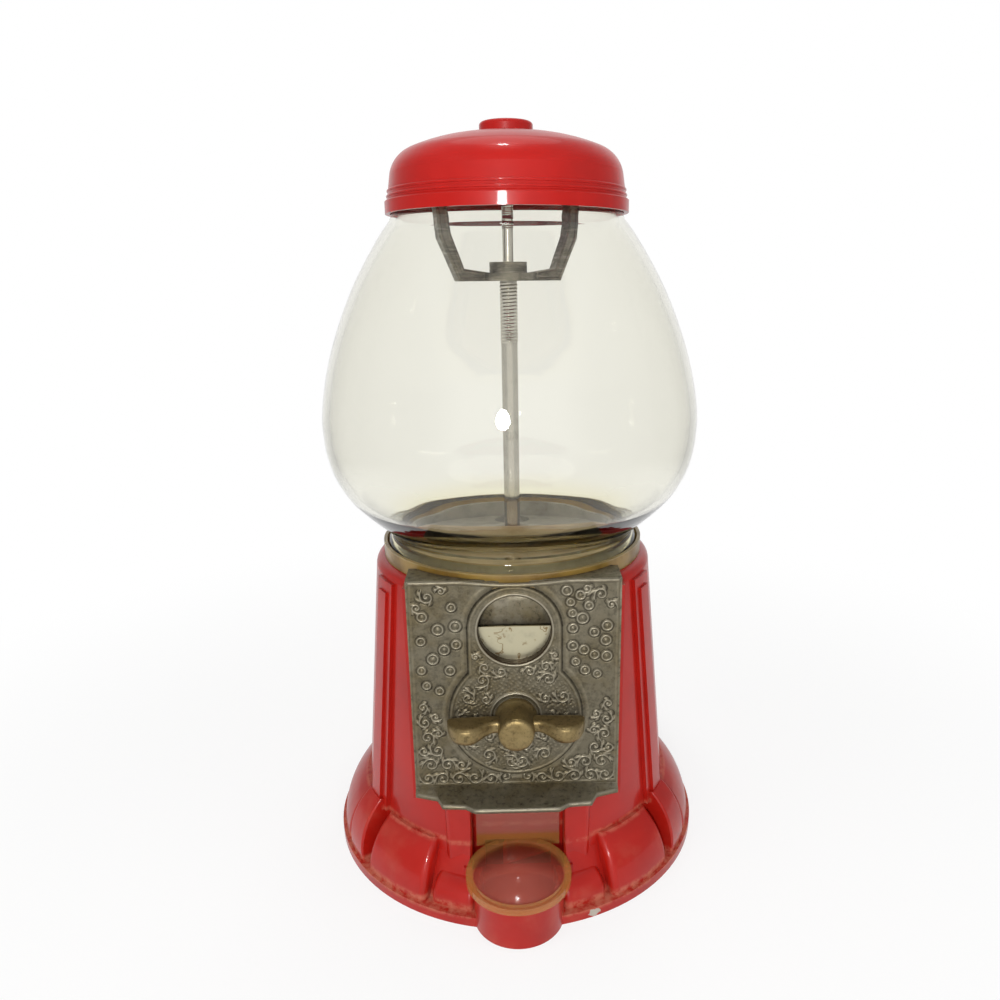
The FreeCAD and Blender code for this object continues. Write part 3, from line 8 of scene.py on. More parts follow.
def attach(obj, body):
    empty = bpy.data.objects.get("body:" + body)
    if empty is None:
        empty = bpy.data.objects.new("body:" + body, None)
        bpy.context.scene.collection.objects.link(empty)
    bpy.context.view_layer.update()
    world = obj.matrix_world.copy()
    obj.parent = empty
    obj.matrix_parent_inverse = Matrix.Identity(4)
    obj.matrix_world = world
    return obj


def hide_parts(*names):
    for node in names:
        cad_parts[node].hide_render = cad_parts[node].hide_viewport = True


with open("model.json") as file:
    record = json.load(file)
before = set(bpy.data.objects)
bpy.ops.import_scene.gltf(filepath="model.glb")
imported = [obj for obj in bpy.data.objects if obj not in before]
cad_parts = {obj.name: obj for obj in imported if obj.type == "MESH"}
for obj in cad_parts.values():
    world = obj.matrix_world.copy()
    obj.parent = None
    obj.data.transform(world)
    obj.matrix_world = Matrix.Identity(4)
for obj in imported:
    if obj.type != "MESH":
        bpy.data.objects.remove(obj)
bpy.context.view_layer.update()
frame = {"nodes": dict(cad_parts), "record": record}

nodes = frame["nodes"]
mm = 0.001
print("frame loaded:", len(nodes), "nodes")


def tone(r, g, b):
    # a screen colour 0..255 as the linear values a shader takes
    c = np.array([r, g, b]) / 255
    return (*np.where(c <= 0.04045, c / 12.92, ((c + 0.055) / 1.055) ** 2.4).tolist(), 1.0)


class Wire:
    # a socket that takes part in sums: every operator adds one Math node
    def __init__(self, look, socket):
        self.look = look
        self.socket = socket

    def sums(self, kind, *values):
        return self.look.node("ShaderNodeMath", {"operation": kind}, values)

    def __add__(self, other):
        return self.sums("ADD", self, other)

    def __sub__(self, other):
        return self.sums("SUBTRACT", self, other)

    def __rsub__(self, other):
        return self.sums("SUBTRACT", other, self)

    def __mul__(self, other):
        return self.sums("MULTIPLY", self, other)

    def __truediv__(self, other):
        return self.sums("DIVIDE", self, other)

    def __pow__(self, other):
        return self.sums("POWER", self, other)

    __radd__ = __add__
    __rmul__ = __mul__

    def root(self):
        return self.sums("SQRT", self)

    def size(self):
        return self.sums("ABSOLUTE", self)

    def most(self, other):
        return self.sums("MAXIMUM", self, other)

    def least(self, other):
        return self.sums("MINIMUM", self, other)

    def rise(self, low, high):
        # 0 at low, 1 at high, eased between
        return self.look.node("ShaderNodeMapRange", {"interpolation_type": "SMOOTHSTEP"},
                              {"Value": self, "From Min": low, "From Max": high})


class Look:
    # one material, or the world; node() takes the type, the settings, then the sockets
    def __init__(self, name, group=bpy.data.materials, place="Object"):
        self.owner = group.new(name)
        self.owner.use_nodes = True
        self.tree = self.owner.node_tree
        self.tree.nodes.clear()
        self.place = self.node("ShaderNodeTexCoord", out=place)

    def node(self, kind, settings=None, sockets=None, out=0):
        made = self.tree.nodes.new(kind)
        for key, value in (settings or {}).items():
            setattr(made, key, value)
        pairs = sockets.items() if isinstance(sockets, dict) else enumerate(sockets or ())
        for key, value in pairs:
            if isinstance(value, Wire):
                self.tree.links.new(value.socket, made.inputs[key])
            else:
                made.inputs[key].default_value = value
        return Wire(self, made.outputs[out]) if made.outputs else self.owner

    def several(self, kind, sockets, outs):
        # more than one output of the same node
        made = self.node(kind, None, sockets).socket.node
        return [Wire(self, made.outputs[out]) for out in outs]

    def axes(self, scale=1000):
        # x, y and z of the place, in millimetres at the usual scale
        scaled = self.node("ShaderNodeVectorMath", {"operation": "SCALE"}, {0: self.place, "Scale": scale})
        return self.several("ShaderNodeSeparateXYZ", [scaled], "XYZ")

    def rays(self):
        # 1 where the camera looks, where glass does and where a reflection does
        return self.several("ShaderNodeLightPath", None,
                            ["Is Camera Ray", "Is Transmission Ray", "Is Glossy Ray"])

    def noise(self, size, detail=3, rough=0.55, stretch=(1, 1, 1)):
        # cloudy value 0..1 with spots of the given size in millimetres
        moved = self.node("ShaderNodeMapping", None, {"Vector": self.place, "Scale": stretch})
        return self.node("ShaderNodeTexNoise", None, {"Vector": moved, "Scale": 1000 / size,
                                                      "Detail": detail, "Roughness": rough})

    def spots(self, size):
        # distance to the nearest of scattered points
        return self.node("ShaderNodeTexVoronoi", None, {"Vector": self.place, "Scale": 1000 / size})

    def mix(self, factor, first, second):
        return self.node("ShaderNodeMix", {"data_type": "RGBA"}, {0: factor, 6: first, 7: second}, out=2)

    def bump(self, height, depth, strength=1.0, under=None):
        # depth in millimetres; under is a bump that this one lies on
        sockets = {"Height": height, "Distance": depth * mm, "Strength": strength}
        if under is not None:
            sockets["Normal"] = under
        return self.node("ShaderNodeBump", None, sockets)

    def principled(self, sockets):
        return self.node("ShaderNodeBsdfPrincipled", None, sockets)

    def done(self, shader, end="ShaderNodeOutputMaterial", **inside):
        return self.node(end, None, {"Surface": shader, **inside})


# painted castings; cove is a height and two radii, crease a height and a radius

paint = {
    # the base's red is darker and browner than the lid's: painted shade on the lower casting
    "lid": (tone(180, 20, 13), tone(156, 17, 11)), "base": (tone(167, 25, 16), tone(142, 21, 14)),
    "drift": 22, "grain": 2.6, "peel": 1.8, "waves": 13, "specular": 0.18, "coat": 0.3, "coatRough": 0.07,
    "dust": tone(186, 112, 90), "cove": (4.6, 69, 76.3), "crease": (24.6, 65), "filmFrom": 62,
    "bare": tone(186, 178, 166), "chip": (27.6, -71.0, 1.9), "chipSize": 3.7,
}


def paintLook(name, dustAndShade):
    # enamel with slow colour drift and orange peel; dust lies in the coves of the foot
    look = Look(name)
    # the base takes the darker red as painted shade, and below it the dust
    red, deep = paint["base" if dustAndShade else "lid"]
    colour = look.mix(0.65 * look.noise(paint["drift"]).rise(0.3, 0.8), red, deep)
    rough = 0.30 + 0.10 * look.noise(paint["grain"], 4)
    shine, coat = 0.0, paint["coat"]
    waves = look.bump(look.noise(paint["waves"], 1), 0.2, 0.2)
    peel = look.bump(look.noise(paint["peel"], 1), 0.02, 0.15, waves)
    if dustAndShade:
        x, y, z = look.axes()
        radius = (x * x + y * y).root()
        height, low, high = paint["cove"]
        cove = (1 - (z - height).size().rise(0.6, 2.6)) * radius.rise(low, low + 2)
        cove = cove * (1 - radius.rise(high, high + 0.3))
        height, high = paint["crease"]
        crease = (1 - (z - height).size().rise(0.3, 1.6)) * (1 - radius.rise(high, high + 1)) * 0.7
        film = 0.16 * radius.rise(paint["filmFrom"], paint["filmFrom"] + 8)
        film = film * look.noise(14, 4).rise(0.45, 0.75)
        dust = (cove.most(crease) * look.noise(3.4, 5, 0.65).rise(0.32, 0.62) * 0.75).most(film)
        colour = look.mix(dust, colour, paint["dust"])
        cx, cy, cz = paint["chip"]
        away = ((x - cx) ** 2 + (y - cy) ** 2 + ((z - cz) * 1.5) ** 2).root() + 3.6 * look.noise(1.7)
        chip = 1 - away.rise(paint["chipSize"], paint["chipSize"] + 0.5)
        colour = look.mix(chip, colour, paint["bare"])
        shine = 0.7 * chip
        rough = rough + 0.4 * dust
        coat = paint["coat"] * (1 - dust) * (1 - chip)
    return look.done(look.principled({"Base Color": colour, "Roughness": rough, "Metallic": shine,
                                      "Specular IOR Level": paint["specular"], "Coat Weight": coat,
                                      "Coat Roughness": paint["coatRough"], "Normal": peel}))


# bare metals

metal = {
    "pewter": {"light": tone(122, 115, 97), "dark": tone(44, 40, 31), "warm": tone(104, 91, 60),
               "wornAndLit": tone(168, 161, 144)},
    "bronze": {"light": tone(140, 122, 84), "dark": tone(58, 46, 26), "warm": tone(118, 99, 58),
               "wornAndLit": tone(178, 158, 110)},
    "zinc": {"light": tone(138, 132, 118), "dark": tone(84, 79, 68), "warm": tone(122, 112, 92),
             "wornAndLit": tone(190, 184, 170)},
    "steel": {"light": tone(184, 182, 176), "dark": tone(120, 117, 110), "warm": tone(160, 152, 138),
              "wornAndLit": tone(190, 184, 170)},
    "brass": {"light": tone(196, 168, 98), "dark": tone(112, 88, 42), "warm": tone(168, 134, 68),
              "wornAndLit": tone(190, 184, 170)},
}
# the coin window's bore: colour of its painted shade, height and radius of the window, width of the edge,
# and the depth where it stops
windowWall = {"boreShade": tone(46, 31, 15), "height": 106.5, "radius": 13.1, "edge": 0.25, "behind": -46}
plating = {"cloud": tone(128, 122, 110), "vein": tone(116, 88, 46),
           "hair": {"z": (1, 1, 0.06), "x": (0.06, 1, 1)}}


def castLook(name, kind, carved=False, rough=0.42, mottle=2.0, shine=0.8, ribShadeSize=None):
    # antiqued casting: dark in the low places, rubbed bright on the high ones; on beads whose rise mark
    # follows the angle round them, and in the yoke's bands, the same colours are painted highlight and
    # painted shade
    look = Look(name)
    shade = metal[kind]
    stain = look.noise(15, 4, 0.6)
    fine = look.noise(mottle, 5, 0.7)
    if carved:
        high = look.node("ShaderNodeAttribute", {"attribute_name": "rise"}, None, out="Fac")
        groove = look.node("ShaderNodeAttribute", {"attribute_name": "groove"}, None, out="Fac")
        low = (0.30 * (1 - high.rise(0.02, 0.3))).most(groove)
        wornAndLit = high.rise(0.5, 1.0)
    else:
        low = 0.7 * fine.rise(0.5, 0.75)
        wornAndLit = look.noise(6).rise(0.45, 0.7) * 0.55
    if ribShadeSize:
        # painted shade and painted highlight in fine bands across the length, standing in for the lit and
        # shaded sides of ribs
        ribShadeBand = look.noise(ribShadeSize, 2, 0.6, (0.12, 0.12, 1))
        low = low.most(0.6 * ribShadeBand.rise(0.45, 0.65))
        wornAndLit = wornAndLit.most(ribShadeBand.rise(0.5, 0.32))
    body = look.mix(stain.rise(0.4, 0.7) * 0.65, shade["light"], shade["warm"])
    body = look.mix((fine.rise(0.4, 0.7) * 0.35 + 0.75 * low).least(1.0), body, shade["dark"])
    body = look.mix(0.5 * wornAndLit, body, shade["wornAndLit"])
    if kind == "pewter":
        # painted shade: the wall of the coin window's bore is painted dark brown, as shade deep in the hole
        x, y, z = look.axes()
        away = (x * x + (z - windowWall["height"]) ** 2).root()
        wall = 1 - away.rise(windowWall["radius"], windowWall["radius"] + windowWall["edge"])
        wall = wall * (1 - y.rise(windowWall["behind"], windowWall["behind"] + 1))
        body = look.mix(wall, body, windowWall["boreShade"])
    worn = (rough + 0.22 * fine - 0.12 * wornAndLit).most(0.12)
    cast = look.bump(fine, 0.09, 0.6, look.bump(look.spots(0.9), 0.06, 0.35))
    return look.done(look.principled({"Base Color": body, "Metallic": shine, "Roughness": worn,
                                      "Normal": cast}))


def brightLook(name, colour, rough, along="z", veins=0.0):
    # plated steel with hair lines along one direction, and fine brown veins where it is old
    look = Look(name)
    hair = look.noise(0.5, 3, 0.6, plating["hair"][along])
    cloud = look.noise(7, 4)
    body = look.mix(cloud.rise(0.5, 0.8) * 0.5, colour, plating["cloud"])
    if veins:
        crack = 1 - (look.noise(9, 3, 0.6) - 0.5).size().rise(0.004, 0.02)
        body = look.mix(crack * look.noise(5, 2).rise(0.4, 0.6) * veins, body, plating["vein"])
    return look.done(look.principled({"Base Color": body, "Metallic": 1.0,
                                      "Roughness": rough + 0.16 * hair * cloud,
                                      "Normal": look.bump(hair, 0.008, 0.4)}))


# glass and plastics

clearGlass = {"upper": (0.98, 0.978, 0.95, 1), "foot": (0.95, 0.91, 0.70, 1), "footTop": (127, 140),
              "through": (0.50, 0.46, 0.20, 1), "density": 36.0, "ior": 1.49}
softRing = {"young": tone(186, 152, 76), "old": tone(132, 96, 36), "milky": tone(222, 204, 150),
            "milkyFrom": 126.5, "ior": 1.42, "clear": 0.55}
# the disc colour is painted light: the lit red cup beneath, seen through the clear disc
flap = {"disc": tone(222, 116, 100), "strip": tone(214, 150, 138), "rim": tone(198, 142, 76),
        "clear": (0.96, 0.93, 0.88, 1), "middle": -68.8, "rimFrom": 16.3, "lensRadius": 16.4, "lens": 8.5,
        "discTop": 21.2, "ior": 1.5}


def glassLook():
    # clear glass, greenish yellow where the light goes a long way through it, faint waves from the mould
    look = Look("globeGlass")
    height = look.axes()[2]
    tint = look.mix(1 - height.rise(*clearGlass["footTop"]), clearGlass["upper"], clearGlass["foot"])
    wave = look.bump(look.noise(30, 1, 0.5, (1, 1, 2.2)), 0.25, 0.10)
    body = look.node("ShaderNodeVolumeAbsorption", None, {"Color": clearGlass["through"],
                                                          "Density": clearGlass["density"]})
    return look.done(look.principled({"Base Color": tint, "Roughness": 0.0, "IOR": clearGlass["ior"],
                                      "Transmission Weight": 1.0, "Normal": wave}), Volume=body)


def ringLook():
    # soft yellowed ring, darker in patches with age and milky along its top
    look = Look("agedRing")
    height = look.axes()[2]
    old = look.noise(12, 4).rise(0.35, 0.7)
    milky = height.rise(softRing["milkyFrom"], softRing["milkyFrom"] + 0.7)
    colour = look.mix(old * 0.8, softRing["young"], softRing["old"])
    colour = look.mix(milky * 0.4, colour, softRing["milky"])
    return look.done(look.principled({"Base Color": colour, "Roughness": 0.3 + 0.15 * old,
                                      "IOR": softRing["ior"], "Transmission Weight": softRing["clear"],
                                      "Coat Weight": 0.2,
                                      "Normal": look.bump(look.noise(3), 0.05, 0.4)}))


def doorLook():
    # clear plastic: mostly see-through, yellowed and cloudy along the thick rim, milky on the strip
    look = Look("agedClearPlastic")
    x, y, z = look.axes()
    radius = (x * x + (y - flap["middle"]) ** 2).root()
    strip = z.rise(flap["discTop"], flap["discTop"] + 0.6)
    disc = 1 - strip
    rim = radius.rise(flap["rimFrom"], flap["rimFrom"] + 0.8) * disc
    scuff = look.noise(1.1, 4, 0.6, (0.25, 1, 1))
    cloud = look.noise(5, 4, 0.6)
    # the disc's pinkish red is painted: it stands in for the lit red cup seen through the disc
    colour = look.mix(rim, look.mix(strip, flap["disc"], flap["strip"]), flap["rim"])
    # the lens of the disc is rounder than the plate behind it
    lens = look.bump((1 - (radius / flap["lensRadius"]) ** 2).most(0.0) * disc, flap["lens"])
    gloss = look.principled({"Base Color": colour, "Roughness": 0.10 + 0.16 * scuff * scuff,
                             "IOR": flap["ior"], "Coat Weight": 0.6, "Coat Roughness": 0.08,
                             "Normal": look.bump(scuff, 0.015, 0.4, lens)})
    clear = look.node("ShaderNodeBsdfTransparent", None, {"Color": flap["clear"]})
    edge = look.node("ShaderNodeLayerWeight", None, {"Blend": 0.25}, out="Fresnel")
    solid = (0.20 + 0.08 * cloud + 0.06 * rim - 0.03 * strip + 0.22 * edge).least(0.9)
    return look.done(look.node("ShaderNodeMixShader", None, {0: solid, 1: clear, 2: gloss}))


def mouldLook(name, colour, dark, rough):
    # moulded plastic or enamelled sheet with a faint grain and grime
    look = Look(name)
    grime = look.noise(9, 4, 0.6)
    body = look.mix(grime.rise(0.42, 0.75) * 0.7, colour, dark)
    return look.done(look.principled({"Base Color": body, "Roughness": rough + 0.15 * grime,
                                      "Normal": look.bump(look.noise(0.8), 0.04, 0.35)}))


looks = {
    "red_paint": paintLook("redEnamel", True),
    "lidPaint": paintLook("lidEnamel", False),
    "pewter": castLook("agedPewter", "pewter"),
    # the relief's rubbed high places are wear; on the plate edge and the apron lip this look paints a
    # highlight on top of the bead
    "relief": castLook("wornAndLitPewter", "pewter", carved=True),
    # the yoke's bands are painted shade and painted highlight of ribs
    "yoke": castLook("ribShadedZinc", "zinc", rough=0.36, shine=0.85, ribShadeSize=1.1),
    "bronze": castLook("agedBronze", "bronze", rough=0.34, mottle=1.5, shine=0.9),
    "nickel": brightLook("brightNickel", tone(204, 200, 192), 0.05),
    "shield": brightLook("rubbedNickel", tone(186, 179, 152), 0.3, "x", veins=0.8),
    "zinc": castLook("greyZinc", "zinc", rough=0.46, mottle=3.0, shine=0.7),
    "plated_steel": castLook("dullPlating", "steel", rough=0.3, mottle=3.5, shine=1.0),
    "bearing_brass": castLook("bearingBrass", "brass", rough=0.3, mottle=3.0, shine=1.0),
    "clear_glass": glassLook(),
    "soft_ring": ringLook(),
    "clear_plastic": doorLook(),
    "grey_plastic": mouldLook("greyDish", tone(174, 168, 148), tone(122, 112, 88), 0.4),
    "tan_plastic": mouldLook("tanGuard", tone(196, 174, 128), tone(146, 122, 80), 0.42),
    "red_plastic": mouldLook("redChute", tone(176, 38, 30), tone(132, 26, 22), 0.35),
    "black_steel": mouldLook("blackSheet", tone(44, 43, 42), tone(24, 24, 24), 0.4),
}
ownLook = {"lid": "lidPaint", "lid_knob": "lidPaint", "coin_shield": "shield", "yoke": "yoke"}
slotOf = {s["node"]: s["material_slot"] for s in frame["record"]["subparts"]}
for name, node in nodes.items():
    node.data.materials.clear()
    node.data.materials.append(looks[ownLook.get(name, slotOf[name])])
print("materials on", len(nodes), "nodes")


# mesh helpers

def ring(count):
    # equal angles once round a circle, as a row
    return np.linspace(0, 2 * np.pi, count, endpoint=False)[None, :]


def squared(wave, corner):
    # side of a superellipse: the wave keeps its sign and takes the power two over corner
    return np.sign(wave) * np.abs(wave) ** (2 / corner)


def gridFaces(rows, cols, closeRows=False, closeCols=True):
    # quads of a rows x cols grid of points, joined to the first row or column where it closes
    i = np.arange(rows if closeRows else rows - 1)[:, None]
    j = np.arange(cols if closeCols else cols - 1)[None, :]
    i2, j2 = (i + 1) % rows, (j + 1) % cols
    quads = [i * cols + j, i * cols + j2, i2 * cols + j2, i2 * cols + j]
    return np.stack([np.broadcast_to(q, (i.size, j.size)) for q in quads], -1).reshape(-1, 4)


def spline(knots, count):
    # Catmull-Rom curve: every span is a cubic whose end slopes are half the step between neighbours
    knots = np.asarray(knots, float)
    ends = np.vstack([2 * knots[0] - knots[1], knots, 2 * knots[-1] - knots[-2]])
    t = np.linspace(0, len(knots) - 1, count)
    k = np.minimum(t.astype(int), len(knots) - 2)
    u = (t - k)[:, None]
    a, b, c, d = (ends[k + n] for n in range(4))
    return 0.5 * (2 * b + (c - a) * u + (2 * a - 5 * b + 4 * c - d) * u ** 2
                  + (3 * b - a - 3 * c + d) * u ** 3)


def lathe(profile, around, closed=False):
    # profile of radius and height turned about the rod: x = r cos a, y = r sin a, z = height
    a = ring(around)
    r, z = profile[:, 0:1], profile[:, 1:2]
    points = np.stack([r * np.cos(a), r * np.sin(a), z + 0 * a], -1).reshape(-1, 3)
    return points, gridFaces(len(profile), around, closed)


def addObject(name, points, faces, look, marks=None):
    # points in millimetres; ends that close to a point are welded there
    mesh = bpy.data.meshes.new(name)
    mesh.from_pydata((points * mm).tolist(), [], faces.tolist())
    mesh.polygons.foreach_set("use_smooth", np.ones(len(faces), bool))
    for mark, values in (marks or {}).items():
        mesh.attributes.new(mark, "FLOAT", "POINT").data.foreach_set("value", values.astype(np.float32))
    weld = bmesh.new()
    weld.from_mesh(mesh)
    bmesh.ops.remove_doubles(weld, verts=weld.verts, dist=1e-7)
    weld.to_mesh(mesh)
    weld.free()
    mesh.update()
    mesh.materials.append(looks[look])
    added = bpy.data.objects.new(name, mesh)
    bpy.context.scene.collection.objects.link(added)
    return added


def addPiece(name, points, faces, body, look, marks=None):
    # an object of the machine: it moves with a body and takes the finish of a slot
    piece = addObject(name, points, faces, look, marks)
    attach(piece, body)
    return piece


# globe: radius and height of its outline, then of the inner wall's ends at the foot and the mouth

globe = {
    "outline": [(46.2, 123.72), (49.2, 123.72), (50.0, 124.6), (50.0, 126.4), (49.2, 128.0), (48.0, 129.6),
                (48.4, 131.4), (50.4, 133.6), (53.4, 136.3), (56.8, 139.3), (60.4, 142.8), (64.1, 147.0),
                (67.1, 152.0), (69.6, 158.0), (71.15, 165.0), (71.65, 172.0), (71.6, 177.0), (70.5, 185.0),
                (68.3, 195.0), (65.2, 205.0), (61.3, 215.0), (56.6, 225.0), (50.8, 235.0), (46.2, 242.0),
                (43.2, 246.0), (42.2, 248.6), (42.1, 250.6), (41.5, 252.1)],
    "foot": [(44.6, 123.72), (43.9, 126.5)], "mouth": [(39.4, 252.1), (40.4, 252.5)],
    "wall": 2.7, "footWall": 4.6, "thinFrom": 128, "thinOver": 16, "innerFrom": 129.5, "innerTo": 249.5,
    "across": 150, "around": 160,
}
# the outline is offset inwards by the wall, along its normal, and joined back to itself
outer = spline(globe["outline"], globe["across"])
slope = np.gradient(outer, axis=0)
normal = np.stack([slope[:, 1], -slope[:, 0]], 1) / np.linalg.norm(slope, axis=1)[:, None]
height = outer[:, 1]
upper = np.clip((height[:, None] - globe["thinFrom"]) / globe["thinOver"], 0, 1)
inner = outer - normal * (globe["footWall"] + (globe["wall"] - globe["footWall"]) * upper)
inner = inner[(height > globe["innerFrom"]) & (height < globe["innerTo"])]
inside = np.vstack([globe["foot"], inner, globe["mouth"]])
points, faces = lathe(np.vstack([outer, inside[::-1]]), globe["around"], True)
globePiece = addPiece("globeShell", points, faces, "base", "clear_glass")
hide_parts("globe")
print("globe:", len(faces), "faces")


# threads of the rod and the stud

thread = {"rod": {"root": 3.19, "crest": 3.46, "low": 202.0, "high": 224.8, "pitch": 1.27},
          "stud": {"root": 2.02, "crest": 2.2, "low": 243.0, "high": 266.0, "pitch": 0.9},
          "around": 40, "perTurn": 12}
a = ring(thread["around"])
for label in ("rod", "stud"):
    root, crest, low, high, pitch = thread[label].values()
    rows = int((high - low) / pitch * thread["perTurn"])
    z = np.linspace(low, high, rows)[:, None]
    # radius is a triangle wave of height minus the turn, cut off top and bottom and run out at both ends
    wave = np.abs(2 * ((z / pitch - a / (2 * np.pi)) % 1) - 1)
    fade = np.clip(np.minimum(z - low, high - z) / pitch, 0, 1)
    r = root + (crest - root) * np.clip(wave * 1.3 - 0.15, 0, 1) * fade
    points = np.stack([r * np.cos(a), r * np.sin(a), z + 0 * a], -1).reshape(-1, 3)
    addPiece(label + "Thread", points, gridFaces(rows, a.size), "base", "nickel")
print("threads cut")


# lines above the bead of the lid; side is a radius and a height on the lid's slope

lines = {"heights": (254.4, 256.2), "proud": 0.42, "half": 0.5, "bed": 0.1, "side": (43.2, 253.45),
         "slope": 0.152, "across": 13, "around": 160}
for count, height in enumerate(lines["heights"]):
    # a half round rib on the sloping side of the lid
    t = np.linspace(-1, 1, lines["across"])
    z = height + lines["half"] * t
    side = lines["side"][0] - (z - lines["side"][1]) * lines["slope"]
    r = side - lines["bed"] + (lines["proud"] + lines["bed"]) * np.sqrt(1 - t * t)
    points, faces = lathe(np.stack([r, z], 1), lines["around"])
    addPiece("lidLine%d" % (count + 1), points, faces, "lid", "lidPaint")
print("lid lines done")


# relief of the coin plate; studs and foot are x, height and size

relief = {
    "left": -37.5, "right": 37.5, "low": 43.2, "high": 125.1, "step": 0.26, "face": 51.0,
    "shaft": 72.5, "window": 106.5, "disc": 24.0, "neck": 16.6, "windowHole": 13.05, "shaftHole": 8.25,
    "proud": 0.17, "sink": 0.15, "lineRise": 0.42, "studRise": 0.38, "dotRise": 0.13,
    "keyholeRise": 0.74, "fullRise": 0.4, "turns": 1.3, "tail": 1.3, "curlPoints": 140, "bladePoints": 40,
    "studs": [(-32.6, 112.0, 1.6), (-27.2, 107.0, 1.8), (-21.0, 108.2, 1.8), (-25.2, 99.2, 1.7),
              (-20.9, 101.2, 1.5), (-29.4, 95.6, 1.8), (-23.4, 91.0, 1.6), (-32.0, 85.2, 1.3),
              (-27.4, 83.0, 1.3), (-33.4, 102.6, 1.4), (-22.2, 115.4, 1.4), (-33.6, 91.2, 1.3),
              (18.6, 121.0, 1.6), (19.9, 116.6, 1.3), (20.6, 112.4, 1.3), (23.4, 119.2, 1.5),
              (26.4, 115.2, 1.4), (24.2, 110.4, 1.9), (20.8, 106.6, 1.5), (33.0, 107.4, 1.7),
              (28.4, 105.0, 1.5), (32.6, 101.8, 1.7), (20.8, 99.8, 1.6), (24.8, 98.2, 1.6),
              (28.6, 96.2, 1.5), (33.0, 95.6, 1.7), (21.8, 93.6, 1.3), (25.2, 90.2, 1.5), (29.6, 88.6, 1.3)],
    "foot": [(4.2, 46.8, 2.2), (9.6, 46.2, 2.5), (15.6, 46.7, 2.6), (21.6, 46.4, 2.6), (27.6, 46.6, 2.5),
             (33.2, 46.8, 2.4), (20.4, 52.2, 2.0), (25.6, 52.4, 2.5), (31.8, 52.6, 2.6), (29.2, 58.6, 2.5),
             (34.2, 58.4, 1.9), (32.6, 64.0, 2.3), (28.6, 65.6, 1.6), (33.4, 70.2, 2.1), (29.4, 72.4, 1.6),
             (33.8, 76.4, 1.7)],
    # rings of curls in the disc: radius, count, first angle, angle between, size, lead, twist, hand
    "rings": [(18.9, 6, -84, 27, 2.5, 1.0, 1.0, 1), (12.9, 4, -75, 36, 1.7, 0.0, -0.6, -1)],
    # curls below the window and in the top corners: x, height, size, mirrored start, start, hand
    "corners": [(5.2, 90.4, 2.0, 0.6, 0.0, 1), (11.0, 92.2, 1.8, 0.0, 2.2, -1),
                (14.2, 96.6, 1.3, 0.0, 2.6, 1), (30.6, 119.4, 2.3, 1.2, 0.0, 1),
                (34.4, 115.4, 1.6, 0.0, 2.4, -1), (25.6, 121.6, 1.5, 0.0, 0.4, -1)],
    # leaves of a curl: the point they leave it at, and length
    "leaves": [(100, 0.9), (128, 1.1), (150, 0.8)],
}


def bell(d, width):
    # round ridge: one at the middle, nothing beyond the width
    return np.clip(1 - (d / width) ** 2, 0, 1) ** 1.5


def scroll(cx, cz, size, start, hand):
    # spiral whose radius grows with a power of the turn, then a tail that leaves along its tangent
    t = np.linspace(0, 1, relief["curlPoints"])
    a = start + hand * relief["turns"] * 2 * np.pi * t
    curl = np.stack([cx + size * t ** 0.7 * np.cos(a), cz + size * t ** 0.7 * np.sin(a)], 1)
    way = curl[-1] - curl[-2]
    return np.vstack([curl, blade(curl[-1], way, size * relief["tail"], 0.35 * hand)])


def blade(root, way, length, bend):
    # straight run along the way plus a bend to one side that grows with the square of the run
    way = way / np.linalg.norm(way)
    s = np.linspace(0, 1, relief["bladePoints"])[:, None]
    return root + way * length * s + np.array([-way[1], way[0]]) * bend * length * s ** 2


def carve(path, width, rise):
    # a rounded ridge along the path, its half width given at every point, with a fine groove along its foot
    reach = width.max() * 2
    near = ((gx > path[:, 0].min() - reach) & (gx < path[:, 0].max() + reach)
            & (gz > path[:, 1].min() - reach) & (gz < path[:, 1].max() + reach))
    px, pz = gx[near], gz[near]
    d = np.full(px.shape, 9.0)
    for part, wide in zip(np.array_split(path, 8), np.array_split(width, 8)):
        away = np.hypot(px[:, None] - part[None, :, 0], pz[:, None] - part[None, :, 1]) / wide[None, :]
        d = np.minimum(d, away.min(1))
    ornament[near] = np.maximum(ornament[near], rise * bell(d, 1))
    sunk[near] = np.maximum(sunk[near], bell(d - 1.4, 0.55))


gx, gz = np.meshgrid(np.arange(relief["left"], relief["right"] + 0.01, relief["step"]),
                     np.arange(relief["low"], relief["high"] + 0.01, relief["step"]))
fromShaft = np.hypot(gx, gz - relief["shaft"])
fromWindow = np.hypot(gx, gz - relief["window"])
fromEdge = np.minimum(relief["right"] - np.abs(gx), np.minimum(gz - relief["low"], relief["high"] - gz))
# keyhole: the nearer of a disc round the shaft and a rounded bar up to the window
bar = np.hypot(gx, gz - np.clip(gz, relief["shaft"], relief["window"])) - relief["neck"]
keyhole = np.minimum(fromShaft - relief["disc"], bar)
ornament = np.zeros_like(gx)
sunk = np.zeros_like(gx)
# ring studs scattered beside the keyhole
for sx, sz, big in relief["studs"]:
    d = np.hypot(gx - sx, gz - sz)
    ornament = np.maximum(ornament, relief["studRise"] * bell(d - big, 0.55) + 0.3 * bell(d, 0.75))
    sunk = np.maximum(sunk, np.maximum(bell(d - big - 0.7, 0.4), 0.8 * bell(d - big + 0.6, 0.35)))
